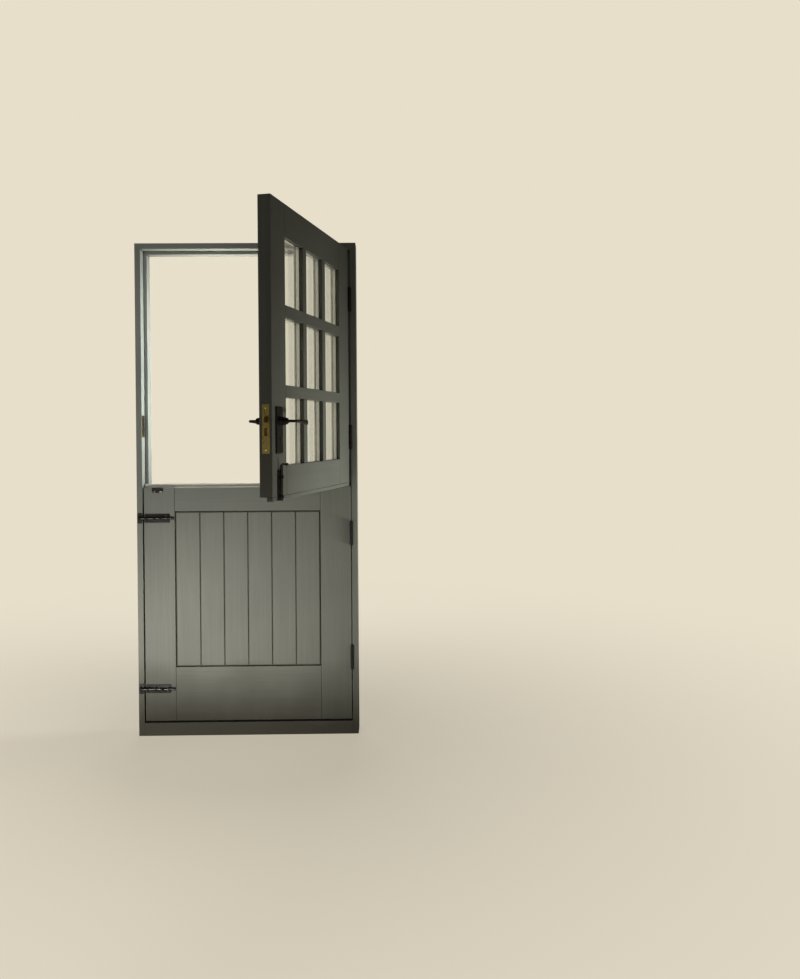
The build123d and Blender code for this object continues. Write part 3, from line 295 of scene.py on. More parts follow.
def brushed_metal(name, bright, dull, smooth, rough, tarnish):
    """Bare metal brushed upright, tarnished in patches and polished at its edges."""
    material, tree, shader, _ = bare_material(name)
    drawn = stretched(tree, False, (1.0, 1.0, 0.05))
    even = stretched(tree, False, (1, 1, 1))
    brushing = noise(tree, drawn, 1500.0, detail=2.0)
    spots = noise(tree, even, 95.0, detail=5.0, roughness=0.65)
    aged = ranged(tree, spots, 0.62 - tarnish, 0.72 - tarnish * 0.5)
    aged = sums(tree, "MAXIMUM", aged, ranged(tree, hollow_share(tree, 0.006), 0.3, 0.8))
    polished = tuple(min(1.0, 1.7 * c) for c in bright[:3]) + (1.0,)
    rubbed = ranged(tree, edge_share(tree, 0.0018), 0.03, 0.14, 0.0, 0.85)
    colour = mixed(tree, rubbed, mixed(tree, aged, bright, dull), polished)
    gloss = sums(tree, "ADD", ranged(tree, aged, 0.0, 1.0, smooth, rough),
                 ranged(tree, brushing, 0.3, 0.7, -0.05, 0.05))
    fill(tree, shader, {"Base Color": colour, "Roughness": gloss, "Metallic": 1.0,
                        "Normal": bumped(tree, brushing, 0.2, 0.0002)})
    return material


IRON = black_iron("black_iron", 0.4, 0.62, 0.22)
RUBBED_IRON = black_iron("rubbed_iron", 0.16, 0.3, 0.6)
BRASS = brushed_metal("aged_brass", linear(180, 166, 102), linear(106, 94, 56), 0.28, 0.5, 0.12)
SCREW_BRASS = brushed_metal("screw_brass", linear(226, 218, 178), linear(170, 158, 112), 0.2, 0.34, 0.02)
BOLT_BRASS = brushed_metal("bolt_brass", linear(118, 84, 52), linear(60, 42, 28), 0.3, 0.5, 0.1)
STEEL = brushed_metal("lock_steel", linear(186, 184, 178), linear(98, 92, 84), 0.28, 0.5, 0.05)
ALUMINIUM = brushed_metal("spacer_aluminium", linear(226, 227, 224), linear(190, 190, 186), 0.3, 0.46, 0.0)

# %% [markdown]
# ## Window glass
#
# Each sheet of a sealed unit is clear glass with the faintest green. Real glass lets lamp light
# through; a path tracer would show a pane's shadow as if it were solid, so rays that look for a
# lamp meet a see-through shader instead. A slow ripple in the surface breaks the reflections up
# a little, as in drawn glass.

# %% Clear glass with a slow ripple
def window_glass():
    """Clear glass whose shadow rays pass straight through."""
    material, tree, shader, out = bare_material("window_glass")
    ripple = noise(tree, stretched(tree, True, (1.0, 1.0, 0.5)), 9.0, detail=1.0)
    fill(tree, shader, {"Base Color": linear(251, 253, 250), "Roughness": 0.02, "IOR": 1.5,
                        "Transmission Weight": 1.0, "Normal": bumped(tree, ripple, 0.25, 0.0012)})
    clear = add(tree, "BsdfTransparent", {"Color": linear(249, 252, 249)})
    shadow = add(tree, "LightPath").outputs["Is Shadow Ray"]
    both = add(tree, "MixShader", {0: shadow, 1: shader.outputs[0], 2: clear.outputs[0]})
    fill(tree, out, {"Surface": both.outputs[0]})
    return material


GLASS = window_glass()

# %% [markdown]
# ## Easing the timbers
#
# No joiner leaves an arris sharp: paint won't hold on it. Each timber edge is rubbed back by
# about a millimetre, which catches a thin line of light, and those of the stiles and rails by a
# little more, which leaves the fine V that shows where a rail meets a stile. The machined shapes
# from CAD are right, but their edges are knife sharp. Redrawing the timbers would lose their
# mortises and rebates, so each one is copied, its loose triangles are welded, flat faces are
# joined, and a Bevel modifier works on the long outside edges alone. Short edges, as round a
# screw hole, stay as they are.

# %% A copy of each timber with its long arrises eased
ARRIS = 0.0009           # metres taken off a timber's edges
JOINT_ARRIS = 0.0014     # and off those of the stiles and rails


def in_scene(name, data):
    """A new object in the scene for a mesh, a lamp or a camera."""
    made = bpy.data.objects.new(name, data)
    bpy.context.scene.collection.objects.link(made)
    return made


def add_bevel(piece, width, method):
    """An arris of two narrow faces, on marked edges (WEIGHT) or on sharp ones (ANGLE)."""
    bevel = piece.modifiers.new("eased arris", "BEVEL")
    bevel.width = width
    bevel.segments = 2
    bevel.limit_method = method
    return bevel


def finish_mesh(mesh, weld=5e-6, flatten=0.0, sharp=35.0):
    """Welds a mesh, joins flat faces, turns its faces outwards and smooths all but sharp edges."""
    bm = bmesh.new()
    bm.from_mesh(mesh)
    bmesh.ops.remove_doubles(bm, verts=bm.verts, dist=weld)
    bmesh.ops.dissolve_degenerate(bm, edges=bm.edges, dist=weld)
    if flatten:
        bmesh.ops.dissolve_limit(bm, angle_limit=math.radians(flatten), verts=bm.verts,
                                 edges=bm.edges, use_dissolve_boundaries=False)
    bmesh.ops.recalc_face_normals(bm, faces=bm.faces)
    for face in bm.faces:
        face.smooth = True
    limit = math.radians(sharp)
    for edge in bm.edges:
        edge.smooth = len(edge.link_faces) == 2 and edge.calc_face_angle(math.pi) < limit
    bm.to_mesh(mesh)
    bm.free()
    mesh.validate()


def long_outside_edges(mesh, longest_kept):
    """Marks the edges that a plane would ease: outside corners longer than a given length."""
    bm = bmesh.new()
    bm.from_mesh(mesh)
    layers, name = bm.edges.layers.float, "bevel_weight_edge"
    weight = layers.get(name) or layers.new(name)
    marked = 0
    for edge in bm.edges:
        outside = len(edge.link_faces) == 2 and edge.calc_face_angle_signed(0.0) > math.radians(25)
        if outside and edge.calc_length() > longest_kept:
            edge[weight] = 1.0
            marked += 1
    bm.to_mesh(mesh)
    bm.free()
    return marked


def eased(node, body, material, arris, shortest=0.012):
    """A copy of a CAD node with eased long edges, riding where the node rides."""
    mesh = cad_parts[node].data.copy()
    mesh.name = node + "_eased"
    finish_mesh(mesh, flatten=0.4)
    marked = long_outside_edges(mesh, shortest)
    mesh.materials.clear()
    mesh.materials.append(material)
    piece = in_scene(node + "_eased", mesh)
    bevel = add_bevel(piece, arris, "WEIGHT")
    bevel.use_clamp_overlap = False
    bevel.miter_outer = "MITER_SHARP"
    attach(piece, body)
    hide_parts(node)
    return marked


TIMBERS = {
    "frame": ("latch_jamb", "hinge_jamb", "head", "sill"),
    "upper_leaf": ("upper_latch_stile", "upper_hinge_stile", "upper_top_rail", "upper_bottom_rail",
                   "upper_meeting_strip", "glazing_bars", "muntins"),
    "lower_leaf": ("lower_latch_stile", "lower_hinge_stile", "lower_top_rail", "lower_bottom_rail",
                   "lower_meeting_strip", "lower_boards"),
}
UPRIGHT = ("jamb", "stile", "muntins", "boards")

for body, timbers in TIMBERS.items():
    for node in timbers:
        along = "upright" if node.endswith(UPRIGHT) else "level"
        arris = JOINT_ARRIS if node.endswith(("stile", "rail")) else ARRIS
        count = eased(node, body, PAINT[along, body == "upper_leaf"], arris)
        print(node, "eased on", count, "edges")

# %% [markdown]
# ## Surfaces from numbers
#
# Handles, knobs, barrels and beads are shapes that a formula describes well: a profile turned
# round an axis, a section carried along a path, a moulding run round a rectangle. Each is worked
# out as one array of points, row by row along it and column by column round it, and the faces
# follow from the rows and columns. Modelling them by hand would take longer and fit less well.

# %% Grids of points, and a mesh made of them
def grid_faces(rows, columns, loop_rows=False):
    """Quads (i, j), (i, j+1), (i+1, j+1), (i+1, j); columns always close on themselves."""
    i = np.arange(rows if loop_rows else rows - 1)[:, None]
    j = np.arange(columns)[None, :]
    here, right = i * columns + j, i * columns + (j + 1) % columns
    up = ((i + 1) % rows) * columns
    corners = [here, right, up + (j + 1) % columns, up + j]
    return np.stack([c.ravel() for c in np.broadcast_arrays(*corners)], axis=1)


def skin(grid, loop_rows=False):
    """Points and faces of one closed skin; open ends get a flat face each."""
    rows, columns = grid.shape[:2]
    faces = grid_faces(rows, columns, loop_rows).tolist()
    if not loop_rows:
        faces.append(list(range(columns)))
        faces.append(list(range((rows - 1) * columns, rows * columns)))
    return grid.reshape(-1, 3), faces


SHUT_BODIES = ("frame", "lower_leaf", "topbolt", "bottombolt")    # not swung with the upper leaf


def make_piece(name, skins, body, node, material=IRON, slot="black_iron", arris=0.0, sharp=35.0):
    """One object of several skins drawn in millimetres, riding on a body in place of a CAD node."""
    points, faces, count = [], [], 0
    for skin_points, skin_faces in skins:
        points.append(skin_points)
        faces += [[count + k for k in face] for face in skin_faces]
        count += len(skin_points)
    points = from_drawing(np.concatenate(points), body not in SHUT_BODIES)
    mesh = bpy.data.meshes.new(name)
    mesh.from_pydata(points.tolist(), [], faces)
    finish_mesh(mesh, weld=2e-6, sharp=sharp)
    mesh.materials.append(material)
    piece = in_scene(name, mesh)
    if arris:
        add_bevel(piece, arris, "ANGLE").angle_limit = math.radians(50)
    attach(piece, body)
    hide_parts(node)
    print(name, "skins", len(skins), "faces", len(mesh.polygons))


def across(axis):
    """Two directions square to an axis and to each other."""
    axis = np.array(axis, float) / np.linalg.norm(axis)
    side = np.cross(axis, (0, 0, 1) if abs(axis[2]) < 0.9 else (1, 0, 0))
    side = side / np.linalg.norm(side)
    return axis, side, np.cross(axis, side)


def turned(profile, foot, axis, sides=32):
    """A profile of (radius, height) turned round an axis: foot + h·axis + r·(cos a·u + sin a·v)."""
    axis, u, v = across(axis)
    a = np.arange(sides) * 2 * math.pi / sides
    ring = np.cos(a)[:, None] * u + np.sin(a)[:, None] * v
    r, h = np.array(profile, float).T
    return np.array(foot, float) + h[:, None, None] * axis + r[:, None, None] * ring


def ball_profile(radius, centre, neck, steps=9):
    """Half a circle from a neck round to the far pole, as (radius, height)."""
    start = math.asin(min(1.0, neck / radius))
    a = np.linspace(math.pi - start, 0, steps)
    return np.stack([radius * np.sin(a), centre + radius * np.cos(a)], axis=1)


# %% [markdown]
# ## Slotted screws
#
# There are over fifty countersunk screws, and a close look finds each one: a slightly domed
# head with a sawn slot, no two slots at the same angle. The head is a height field over a disc.
# Its columns stand at fixed distances from the middle, two of them doubled at the slot's edges,
# and each column is cut short where it meets the circle, so the slot's walls come out upright
# without any boolean.

# %% One screw as a height field, and a set of them
def screw_skin(place, axis, angle, radius, proud=0.25, slot=0.45, deep=0.9):
    """A domed head z = proud·(1 - (x²+y²)/r²), sunk by the slot's depth where |x| < slot, on a cone."""
    half = np.array([0.28, 0.55, 0.8, 0.95, 1.0]) * radius
    x = np.concatenate([-half[::-1], [-slot, -slot], [0.0], [slot, slot], half])
    sunk = np.zeros(len(x))
    sunk[len(half) + 1:len(half) + 4] = deep
    t = np.linspace(-1, 1, 9)
    y = np.sqrt(np.maximum(radius ** 2 - x ** 2, 0))[:, None] * t
    z = proud * (1 - (x[:, None] ** 2 + y ** 2) / radius ** 2) - sunk[:, None]
    top = np.stack([np.broadcast_to(x[:, None], y.shape), y, z], axis=2)
    under = top * (0.5, 0.5, 0) - (0, 0, radius * 0.5 + deep)
    grid = np.concatenate([top, under[:, ::-1]], axis=1)
    axis, u, v = across(axis)
    c, s = math.cos(angle), math.sin(angle)
    u, v = c * u + s * v, c * v - s * u
    grid = np.array(place, float) + grid[..., :1] * u + grid[..., 1:2] * v + grid[..., 2:] * axis
    return skin(grid)


def screw_set(name, body, places, axis, radius, seed):
    """Screws at several places with their slots left at different angles."""
    angles = np.random.default_rng(seed).uniform(0, math.pi, len(places))
    axes = axis if isinstance(axis, list) else [axis] * len(places)
    skins = [screw_skin(p, a, t, radius) for p, a, t in zip(places, axes, angles)]
    look = (SCREW_BRASS, "aged_brass") if name in ("forend", "strike") else (IRON, "black_iron")
    make_piece(name + "_slotted_screws", skins, body, name + "_screws", *look, sharp=40.0)


# %% [markdown]
# The screws go where the CAD holes are: three in each hinge half, four in each bolt plate, two
# in each keep, four in each backplate and two each in forend and strike.

# %% All the screws
ROOM, OUTDOORS, RIGHT, LEFT = (0, -1, 0), (0, 1, 0), (1, 0, 0), (-1, 0, 0)
HINGES_UPPER, HINGES_LOWER = (1822.0, 1248.0), (845.0, 324.0)
SIDE_BOLTS = (914.0, 199.0)
PLATE = 2.5              # thickness of bolt plates and hinge plates
HINGE_SPACE = 0.3        # from the pin's middle to the face of each hinge plate
HINGE_DEPTH = 30.0       # of a hinge plate, from the room face inwards
BACKPLATE = 5.0          # thickness of the levers' backplates
BACKPLATE_Z = 1276.5
LOCK_Z = 1281.0
STRIKE_X, STRIKE_Z = -436.0, 1298.0
BOLT_PLATE_X = LATCH_EDGE + 3.0
JAMB_KEEP_X = -447.0
DROP_X, LIP_Z, DROP_KEEP_Z = -373.0, 1046.0, 1031.0
ON_PLATE = ROOM_FACE - PLATE
BIG_HEAD, SMALL_HEAD = 3.6, 2.8
HINGE_STEP, HINGE_ZIGZAG = 34.0, 5.0

# From the middle of a plate to its screws, and along a bolt's plate from its end
KEEP_HALF, SIDE_HALF, DROP_HALF, DROP_KEEP_HALF = 15.5, 12.5, 11.5, 16.0
BACKPLATE_HALF, FOREND_HALF, STRIKE_HALF = (17.0, 66.0), 68.0, 38.0
SIDE_ALONG, DROP_ALONG = (22.0, 88.0), (30.0, 92.0)
BOTH = (-1, 1)

# The hinge halves: on which body, at which heights, and on which side of the pin (1 is the jamb's)
HINGE_HALVES = {"frame": ("frame", HINGES_UPPER + HINGES_LOWER, 1),
                "upper": ("upper_leaf", HINGES_UPPER, -1),
                "lower": ("lower_leaf", HINGES_LOWER, -1)}


def hinge_screws(centres, side):
    """Three screws per hinge half, the middle one nearer the pin."""
    x, y = HINGE_PIN[0] + side * HINGE_SPACE, ROOM_FACE + HINGE_DEPTH / 2
    return [(x, y + (HINGE_ZIGZAG if i else -HINGE_ZIGZAG), z + HINGE_STEP * i)
            for z in centres for i in (-1, 0, 1)]


corners = [(LEVER_PLACE[0] + sx * BACKPLATE_HALF[0], BACKPLATE_Z + sz * BACKPLATE_HALF[1])
           for sx in BOTH for sz in BOTH]
SCREWS = {name + "_hinge": (body, hinge_screws(centres, side), (-side, 0, 0), BIG_HEAD)
          for name, (body, centres, side) in HINGE_HALVES.items()}
SCREWS |= {
    "side_keep": ("frame", [(JAMB_KEEP_X, ON_PLATE, z + s * KEEP_HALF) for z in SIDE_BOLTS for s in BOTH],
                  ROOM, SMALL_HEAD),
    "side_bolt": ("lower_leaf", [(BOLT_PLATE_X + x, ON_PLATE, z + s * SIDE_HALF)
                                 for z in SIDE_BOLTS for x in SIDE_ALONG for s in BOTH], ROOM, SMALL_HEAD),
    "drop_bolt": ("upper_leaf", [(DROP_X + s * DROP_HALF, ON_PLATE, LIP_Z + z)
                                 for s in BOTH for z in DROP_ALONG], ROOM, SMALL_HEAD),
    "drop_keep": ("lower_leaf", [(DROP_X + s * DROP_KEEP_HALF, ON_PLATE, DROP_KEEP_Z) for s in BOTH],
                  ROOM, SMALL_HEAD),
    "backplate": ("upper_leaf", [(x, ROOM_FACE - BACKPLATE, z) for x, z in corners]
                  + [(x, BACK_FACE + BACKPLATE, z) for x, z in corners],
                  [ROOM] * 4 + [OUTDOORS] * 4, BIG_HEAD),
    "forend": ("upper_leaf", [(LATCH_EDGE, LEAF_MIDDLE, LOCK_Z + s * FOREND_HALF) for s in BOTH],
               LEFT, BIG_HEAD),
    "strike": ("frame", [(STRIKE_X, LEAF_MIDDLE, STRIKE_Z + s * STRIKE_HALF) for s in BOTH],
               RIGHT, BIG_HEAD),
}
for seed, (name, screws) in enumerate(SCREWS.items(), 1):
    screw_set(name, *screws, seed)

# %% [markdown]
# ## Lever handles
#
# Each lever is one casting: a collar that turns in the boss of the backplate, a slim neck that
# bends through a right angle, and an arm that swells towards a rounded tip and droops a little.
# The collar is a turned profile. The arm is an oval section carried along a bent path, with its
# half-height growing along the way and both half-sizes closing in a quarter circle at the tip.

# %% The lever, drawn for the room side and mirrored for outdoors
LEVER_LONG, LEVER_OUT, LEVER_BEND, LEVER_DROOP = 122.0, 58.0, 9.0, 4.0
NECK_START = 30.0        # where the neck leaves the collar, out from the leaf's face
NECK_HALF, TIP_HALF, TIP_RUN = 4.6, 9.0, 7.0


def lever_path(steps=40):
    """Out of the boss, round a bend and along the arm, drooping as a square law."""
    straight = LEVER_OUT - LEVER_BEND
    out = np.linspace(NECK_START, straight, 6)[:-1]
    a = np.linspace(0, math.pi / 2, 8)[:-1]
    along = np.linspace(LEVER_BEND, LEVER_LONG, steps)
    x = np.concatenate([np.zeros(5), LEVER_BEND * (1 - np.cos(a)), along])
    y = -np.concatenate([out, straight + LEVER_BEND * np.sin(a), np.full(steps, LEVER_OUT)])
    z = -LEVER_DROOP * (x / LEVER_LONG) ** 2
    return np.stack([x, y, z], axis=1)


def carried(path, half_side, half_up, power, sides=24):
    """A rounded section along a path: p + s·a·|cos t|^(2/n) + up·b·|sin t|^(2/n), signs kept."""
    way = np.gradient(path, axis=0)
    way /= np.linalg.norm(way, axis=1, keepdims=True)
    side = np.cross(way, (0, 0, 1.0))
    side /= np.linalg.norm(side, axis=1, keepdims=True)
    up = np.cross(side, way)
    t = np.arange(sides) * 2 * math.pi / sides
    c, s = np.cos(t), np.sin(t)
    c, s = np.sign(c) * np.abs(c) ** (2 / power), np.sign(s) * np.abs(s) ** (2 / power)
    return (path[:, None] + side[:, None] * (half_side[:, None] * c)[..., None]
            + up[:, None] * (half_up[:, None] * s)[..., None])


def lever_skins():
    """The collar and the arm about the point where the lever's axis meets the leaf's face."""
    place = np.array([LEVER_PLACE[0], ROOM_FACE, LEVER_PLACE[1]])
    collar = [(0, 6), (7.9, 6), (7.9, 20.2), (11.2, 20.2), (12, 21), (12, 23.2), (11.2, 24),
              (10.6, 24.6), (11.2, 25.2), (11.2, 29.0), (10.4, 31.4), (8.6, 33.4), (6.6, 34.8),
              (5.0, 36.0), (0, 36.5)]
    path = lever_path()
    along = np.clip((path[:, 0] - LEVER_BEND) / (LEVER_LONG - LEVER_BEND), 0, 1)
    swell = NECK_HALF + (TIP_HALF - NECK_HALF) * along ** 1.2
    thick = NECK_HALF - 0.9 * along
    left = np.clip((LEVER_LONG - path[:, 0]) / TIP_RUN, 0.0004, 1)
    end = np.sqrt(left * (2 - left))
    arm = carried(path, thick * end, swell * end, power=2.4)
    return [skin(turned(collar, place, ROOM, 40)), skin(place + arm)]


lever = lever_skins()
make_piece("room_lever_cast", lever, "levers", "room_lever")
make_piece("outdoor_lever_cast", [(seen_from_outdoors(p), f) for p, f in lever], "levers", "outdoor_lever")

# %% [markdown]
# ## Rod bolts
#
# A rod bolt is a round bar with a chamfered nose. On the side bolts a ball tail stops it and a
# ball knob on a waisted neck drives it; on the drop bolt the bar itself bends out to its ball.
# The bars are turned profiles, and the drop bolt is a round section on a bent path whose radius
# thins to the neck and then follows the ball.

# %% The three bolts
ROD_R, ROD_OUT = 5.0, 9.0                    # a bar's radius, and its axis out from the leaf's face
SIDE_ROD, DROP_ROD = 139.0, 119.0            # lengths of the bars
SIDE_REACH, KNOB_ALONG = 18.0, 73.0          # past the leaf's edge, and from the edge to the knob


def side_bolt_skins(z):
    """A turned bar with a ball tail, and a knob set into it."""
    y, x0 = ROOM_FACE - ROD_OUT, LATCH_EDGE - SIDE_REACH
    bar = [(0, 0), (3.8, 0), (ROD_R, 1.4), (ROD_R, SIDE_ROD - 6), *ball_profile(6.0, SIDE_ROD, 4.9)[1:]]
    knob = [(0, 2), (3.6, 2), (3.2, 5.5), (2.6, 7.2), (3.4, 8.4), *ball_profile(5.0, 13.0, 3.4)[1:]]
    return [skin(turned(bar, (x0, y, z), RIGHT)), skin(turned(knob, (LATCH_EDGE + KNOB_ALONG, y, z), ROOM))]


def drop_bolt_skin(bend=6.0):
    """A bar from the lip upwards, bent out to a ball: a circle of radius r(s) on its path."""
    y, top = ROOM_FACE - ROD_OUT, LIP_Z + DROP_ROD
    rise = np.concatenate([[0, 0.01, 1.4], np.linspace(6, DROP_ROD - bend, 8)])
    a = np.linspace(0, math.pi / 2, 9)[1:]
    out = ball_profile(5.0, 19.0, 3.3, 10)
    neck = np.linspace(bend, out[0, 1], 5)[1:-1]
    z = np.concatenate([LIP_Z + rise, top - bend + bend * np.sin(a), np.full(len(neck) + len(out), top)])
    d = np.concatenate([np.zeros(len(rise)), bend * (1 - np.cos(a)), neck, out[:, 1]])
    r = np.concatenate([[0.01, 3.8], np.full(len(rise) - 2, ROD_R), np.linspace(ROD_R, 3.6, len(a)),
                        np.full(len(neck), 3.2), np.maximum(out[:, 0], 0.01)])
    t = np.arange(28) * 2 * math.pi / 28
    lean = np.concatenate([np.zeros(len(rise)), a, np.full(len(neck) + len(out), math.pi / 2)])
    up = np.stack([np.zeros_like(lean), np.cos(lean), np.sin(lean)], axis=1)
    middle = np.stack([np.full_like(z, DROP_X), y - d, z], axis=1)
    ring = np.cos(t)[:, None] * np.array(RIGHT) + np.sin(t)[:, None] * up[:, None]
    return skin(middle[:, None] + r[:, None, None] * ring)


for z, end in zip(SIDE_BOLTS, ("top", "bottom")):
    name = "side_bolt_" + end
    make_piece(name + "_bar", side_bolt_skins(z), end + "bolt", name, RUBBED_IRON)
make_piece("drop_bolt_bar", [drop_bolt_skin()], "dropbolt", "drop_bolt", RUBBED_IRON)

# %% [markdown]
# ## Bolt plates and staples
#
# The bolts run in staples: straps bent over the bar and riveted to a plate. A strap's outline is
# an arch with a foot on each side, the outer line and the inner line joined into one loop and
# carried along the bar. The plate is a rounded rectangle in a few levels, the outer ones drawn
# in to ease its edge.

# %% Plates, straps and keeps
SIDE_PLATE, DROP_PLATE = (104.0, 35.0), (32.0, 100.0)
JAMB_KEEP, DROP_KEEP = (18.0, 41.0), (44.0, 18.0)
SIDE_STRAPS = ((5.0, 10.0), (40.0, 8.0), (96.0, 8.0))    # start and length along the plate
DROP_STRAPS = ((8.0, 10.0), (72.0, 10.0))
JAMB_STRAP = 12.0
KEEP_RADII = {"inner": 5.7, "outer": 7.4}    # of the keeps' straps, wider than those on the plates
STRAP_ARRIS = 0.0003
UP = (0, 0, 1)


def rounded_rectangle(half_u, half_v, corner, steps=5):
    """A rectangle's outline with quarter circles at its corners."""
    a = (np.arange(4)[:, None] + np.linspace(0, 1, steps)) * math.pi / 2
    cu = np.array([1, -1, -1, 1])[:, None] * (half_u - corner)
    cv = np.array([1, 1, -1, -1])[:, None] * (half_v - corner)
    return np.stack([(cu + corner * np.cos(a)).ravel(), (cv + corner * np.sin(a)).ravel()], axis=1)


def plate_skin(centre, axis_u, axis_v, axis_n, size_u, size_v, thick, corner=2.0, ease=0.5):
    """A rounded rectangle at four levels, the last one drawn in by the ease."""
    levels = [(0, 0), (thick - ease, 0), (thick - ease * 0.3, ease * 0.3), (thick, ease)]
    flat = np.array([axis_u, axis_v], float)
    rings = [np.array(centre, float) + h * np.array(axis_n, float)
             + rounded_rectangle(size_u / 2 - inset, size_v / 2 - inset, corner) @ flat
             for h, inset in levels]
    return skin(np.array(rings))


def strap_skin(start, along, side, length, inner=5.2, outer=7.0, foot=9.0, thick=1.8):
    """An arch over the bar: half circles about the bar's axis, straight legs, and two feet."""
    top, shoulder = PLATE + thick, outer + 0.4
    a = np.linspace(0, math.pi, 13)
    o = np.stack([outer * np.cos(a), ROD_OUT + outer * np.sin(a)], axis=1)
    i = np.stack([inner * np.cos(a[::-1]), ROD_OUT + inner * np.sin(a[::-1])], axis=1)
    outline = np.concatenate([[(foot, PLATE), (foot, top), (shoulder, top)], o,
                              [(-shoulder, top), (-foot, top), (-foot, PLATE), (-inner, PLATE)],
                              i, [(inner, PLATE)]])
    flat = outline[:, :1] * np.array(side, float) + outline[:, 1:] * np.array(ROOM, float)
    steps = np.array([0.0, length])[:, None, None] * np.array(along, float)
    return skin(np.array(start, float) + flat + steps)


def face_plate(x, z, size):
    """A plate flat on the room side, about a middle."""
    return plate_skin((x, ROOM_FACE, z), RIGHT, UP, ROOM, *size, PLATE)


side_skins, jamb_skins = [], []
for z in SIDE_BOLTS:
    side_skins.append(face_plate(BOLT_PLATE_X + SIDE_PLATE[0] / 2, z, SIDE_PLATE))
    side_skins += [strap_skin((BOLT_PLATE_X + start, ROOM_FACE, z), RIGHT, UP, long)
                   for start, long in SIDE_STRAPS]
    jamb_skins.append(face_plate(JAMB_KEEP_X, z, JAMB_KEEP))
    jamb_skins.append(strap_skin((JAMB_KEEP_X - JAMB_STRAP / 2, ROOM_FACE, z), RIGHT, UP, JAMB_STRAP,
                                 **KEEP_RADII))
drop_skins = [face_plate(DROP_X, LIP_Z + DROP_PLATE[1] / 2, DROP_PLATE)]
drop_skins += [strap_skin((DROP_X, ROOM_FACE, LIP_Z + start), UP, RIGHT, long)
               for start, long in DROP_STRAPS]
keep_skins = [face_plate(DROP_X, DROP_KEEP_Z, DROP_KEEP),
              strap_skin((DROP_X, ROOM_FACE, DROP_KEEP_Z - DROP_KEEP[1] / 2), UP, RIGHT, DROP_KEEP[1],
                         **KEEP_RADII)]

make_piece("side_bolt_strapped_plates", side_skins, "lower_leaf", "side_bolt_plates", arris=STRAP_ARRIS)
make_piece("drop_bolt_strapped_plate", drop_skins, "upper_leaf", "drop_bolt_plate", arris=STRAP_ARRIS)
make_piece("drop_bolt_staple", keep_skins, "lower_leaf", "drop_keep", RUBBED_IRON, arris=STRAP_ARRIS)
make_piece("side_bolt_staples", jamb_skins, "frame", "side_keeps", arris=STRAP_ARRIS)

# %% [markdown]
# ## Butt hinges
#
# A butt hinge is two plates with barrels that take turns along one pin: three barrels on the
# jamb's half, two on the leaf's. A barrel is a tube, so its profile is a small closed loop with
# eased corners, turned round the pin. The pin ends in a low button above and below.

# %% Hinge halves and pins
HINGE_LONG, BARRELS = 100.0, 5
BARREL_LONG = HINGE_LONG / BARRELS
LEAF_GAP = 0.15          # by which the leaf's barrels stop short of the jamb's


def barrel_skin(low, high, outer=6.0, inner=3.05, ease=0.5):
    """A tube: the closed profile (inner, outer, with eased outer corners) turned round the pin."""
    loop = [(inner, low), (outer - ease, low), (outer, low + ease), (outer, high - ease),
            (outer - ease, high), (inner, high)]
    return skin(turned(loop, (*HINGE_PIN, 0), UP, 28), loop_rows=True)


def hinge_half_skins(centre, side):
    """Plate, barrels and the tabs between them; side is 1 on the jamb and -1 on the leaf."""
    x, axes = HINGE_PIN[0] + side * (HINGE_SPACE + PLATE), (OUTDOORS, UP, (-side, 0, 0))
    tab_y, tab_deep = (HINGE_PIN[1] + ROOM_FACE) / 2, ROOM_FACE - HINGE_PIN[1]
    skins = [plate_skin((x, ROOM_FACE + HINGE_DEPTH / 2, centre), *axes, HINGE_DEPTH, HINGE_LONG, PLATE,
                        corner=0.6, ease=0.25)]
    first, gap = (0, 0.0) if side > 0 else (1, LEAF_GAP)
    for i in range(first, BARRELS, 2):
        low = centre - HINGE_LONG / 2 + BARREL_LONG * i + gap
        high = low + BARREL_LONG - 2 * gap
        skins.append(barrel_skin(low, high))
        skins.append(plate_skin((x, tab_y, (low + high) / 2), *axes, tab_deep, high - low, PLATE,
                                corner=0.3, ease=0.2))
    return skins


def pin_skin(centre, bedded=0.4):
    """The pin with a domed button at each end, one profile from bottom to top."""
    dome = [(0, -3.4), (2.2, -3.2), (3.8, -2.4), (4.5, -1.0), (4.5, 0), (3, 0)]
    half = HINGE_LONG / 2 - bedded
    profile = [(r, centre - half + h) for r, h in dome] + [(r, centre + half - h) for r, h in dome[::-1]]
    return skin(turned(profile, (*HINGE_PIN, 0), UP, 24))


for name, (body, centres, side) in HINGE_HALVES.items():
    make_piece(name + "_hinge_plates", [s for z in centres for s in hinge_half_skins(z, side)], body,
               name + "_hinge_halves")
make_piece("hinge_buttoned_pins", [pin_skin(z) for z in HINGE_HALVES["frame"][1]], "frame", "hinge_pins")

# %% [markdown]
# ## Glazing beads
#
# Outdoors each sealed unit is held by a thin bead mitred at its corners, rounded on the side
# towards the glass. Its profile is run round the rectangle: at every corner the same points are
# used, moved in along both sides by the same distance, which makes the mitre by itself.

# %% Nine mitred rings of bead
PANES_LEFT, PANES_RIGHT, PANES_LOW, PANES_TOP = -303.0, 305.0, 1160.0, 1922.0
MUNTIN, BAR = 36.0, 41.0
PANE_SIZE = (PANES_RIGHT - PANES_LEFT - 2 * MUNTIN) / 3, (PANES_TOP - PANES_LOW - 2 * BAR) / 3
PANE_STEP = PANE_SIZE[0] + MUNTIN, PANE_SIZE[1] + BAR
REBATE = 8.0
GLASS_IN, BEAD_IN = 14.0, 2.0    # from the room face to the glass, from the outdoor face to the bead
UNIT_THICK = 20.0                # two sheets of 4 and the spacer of 12 between them


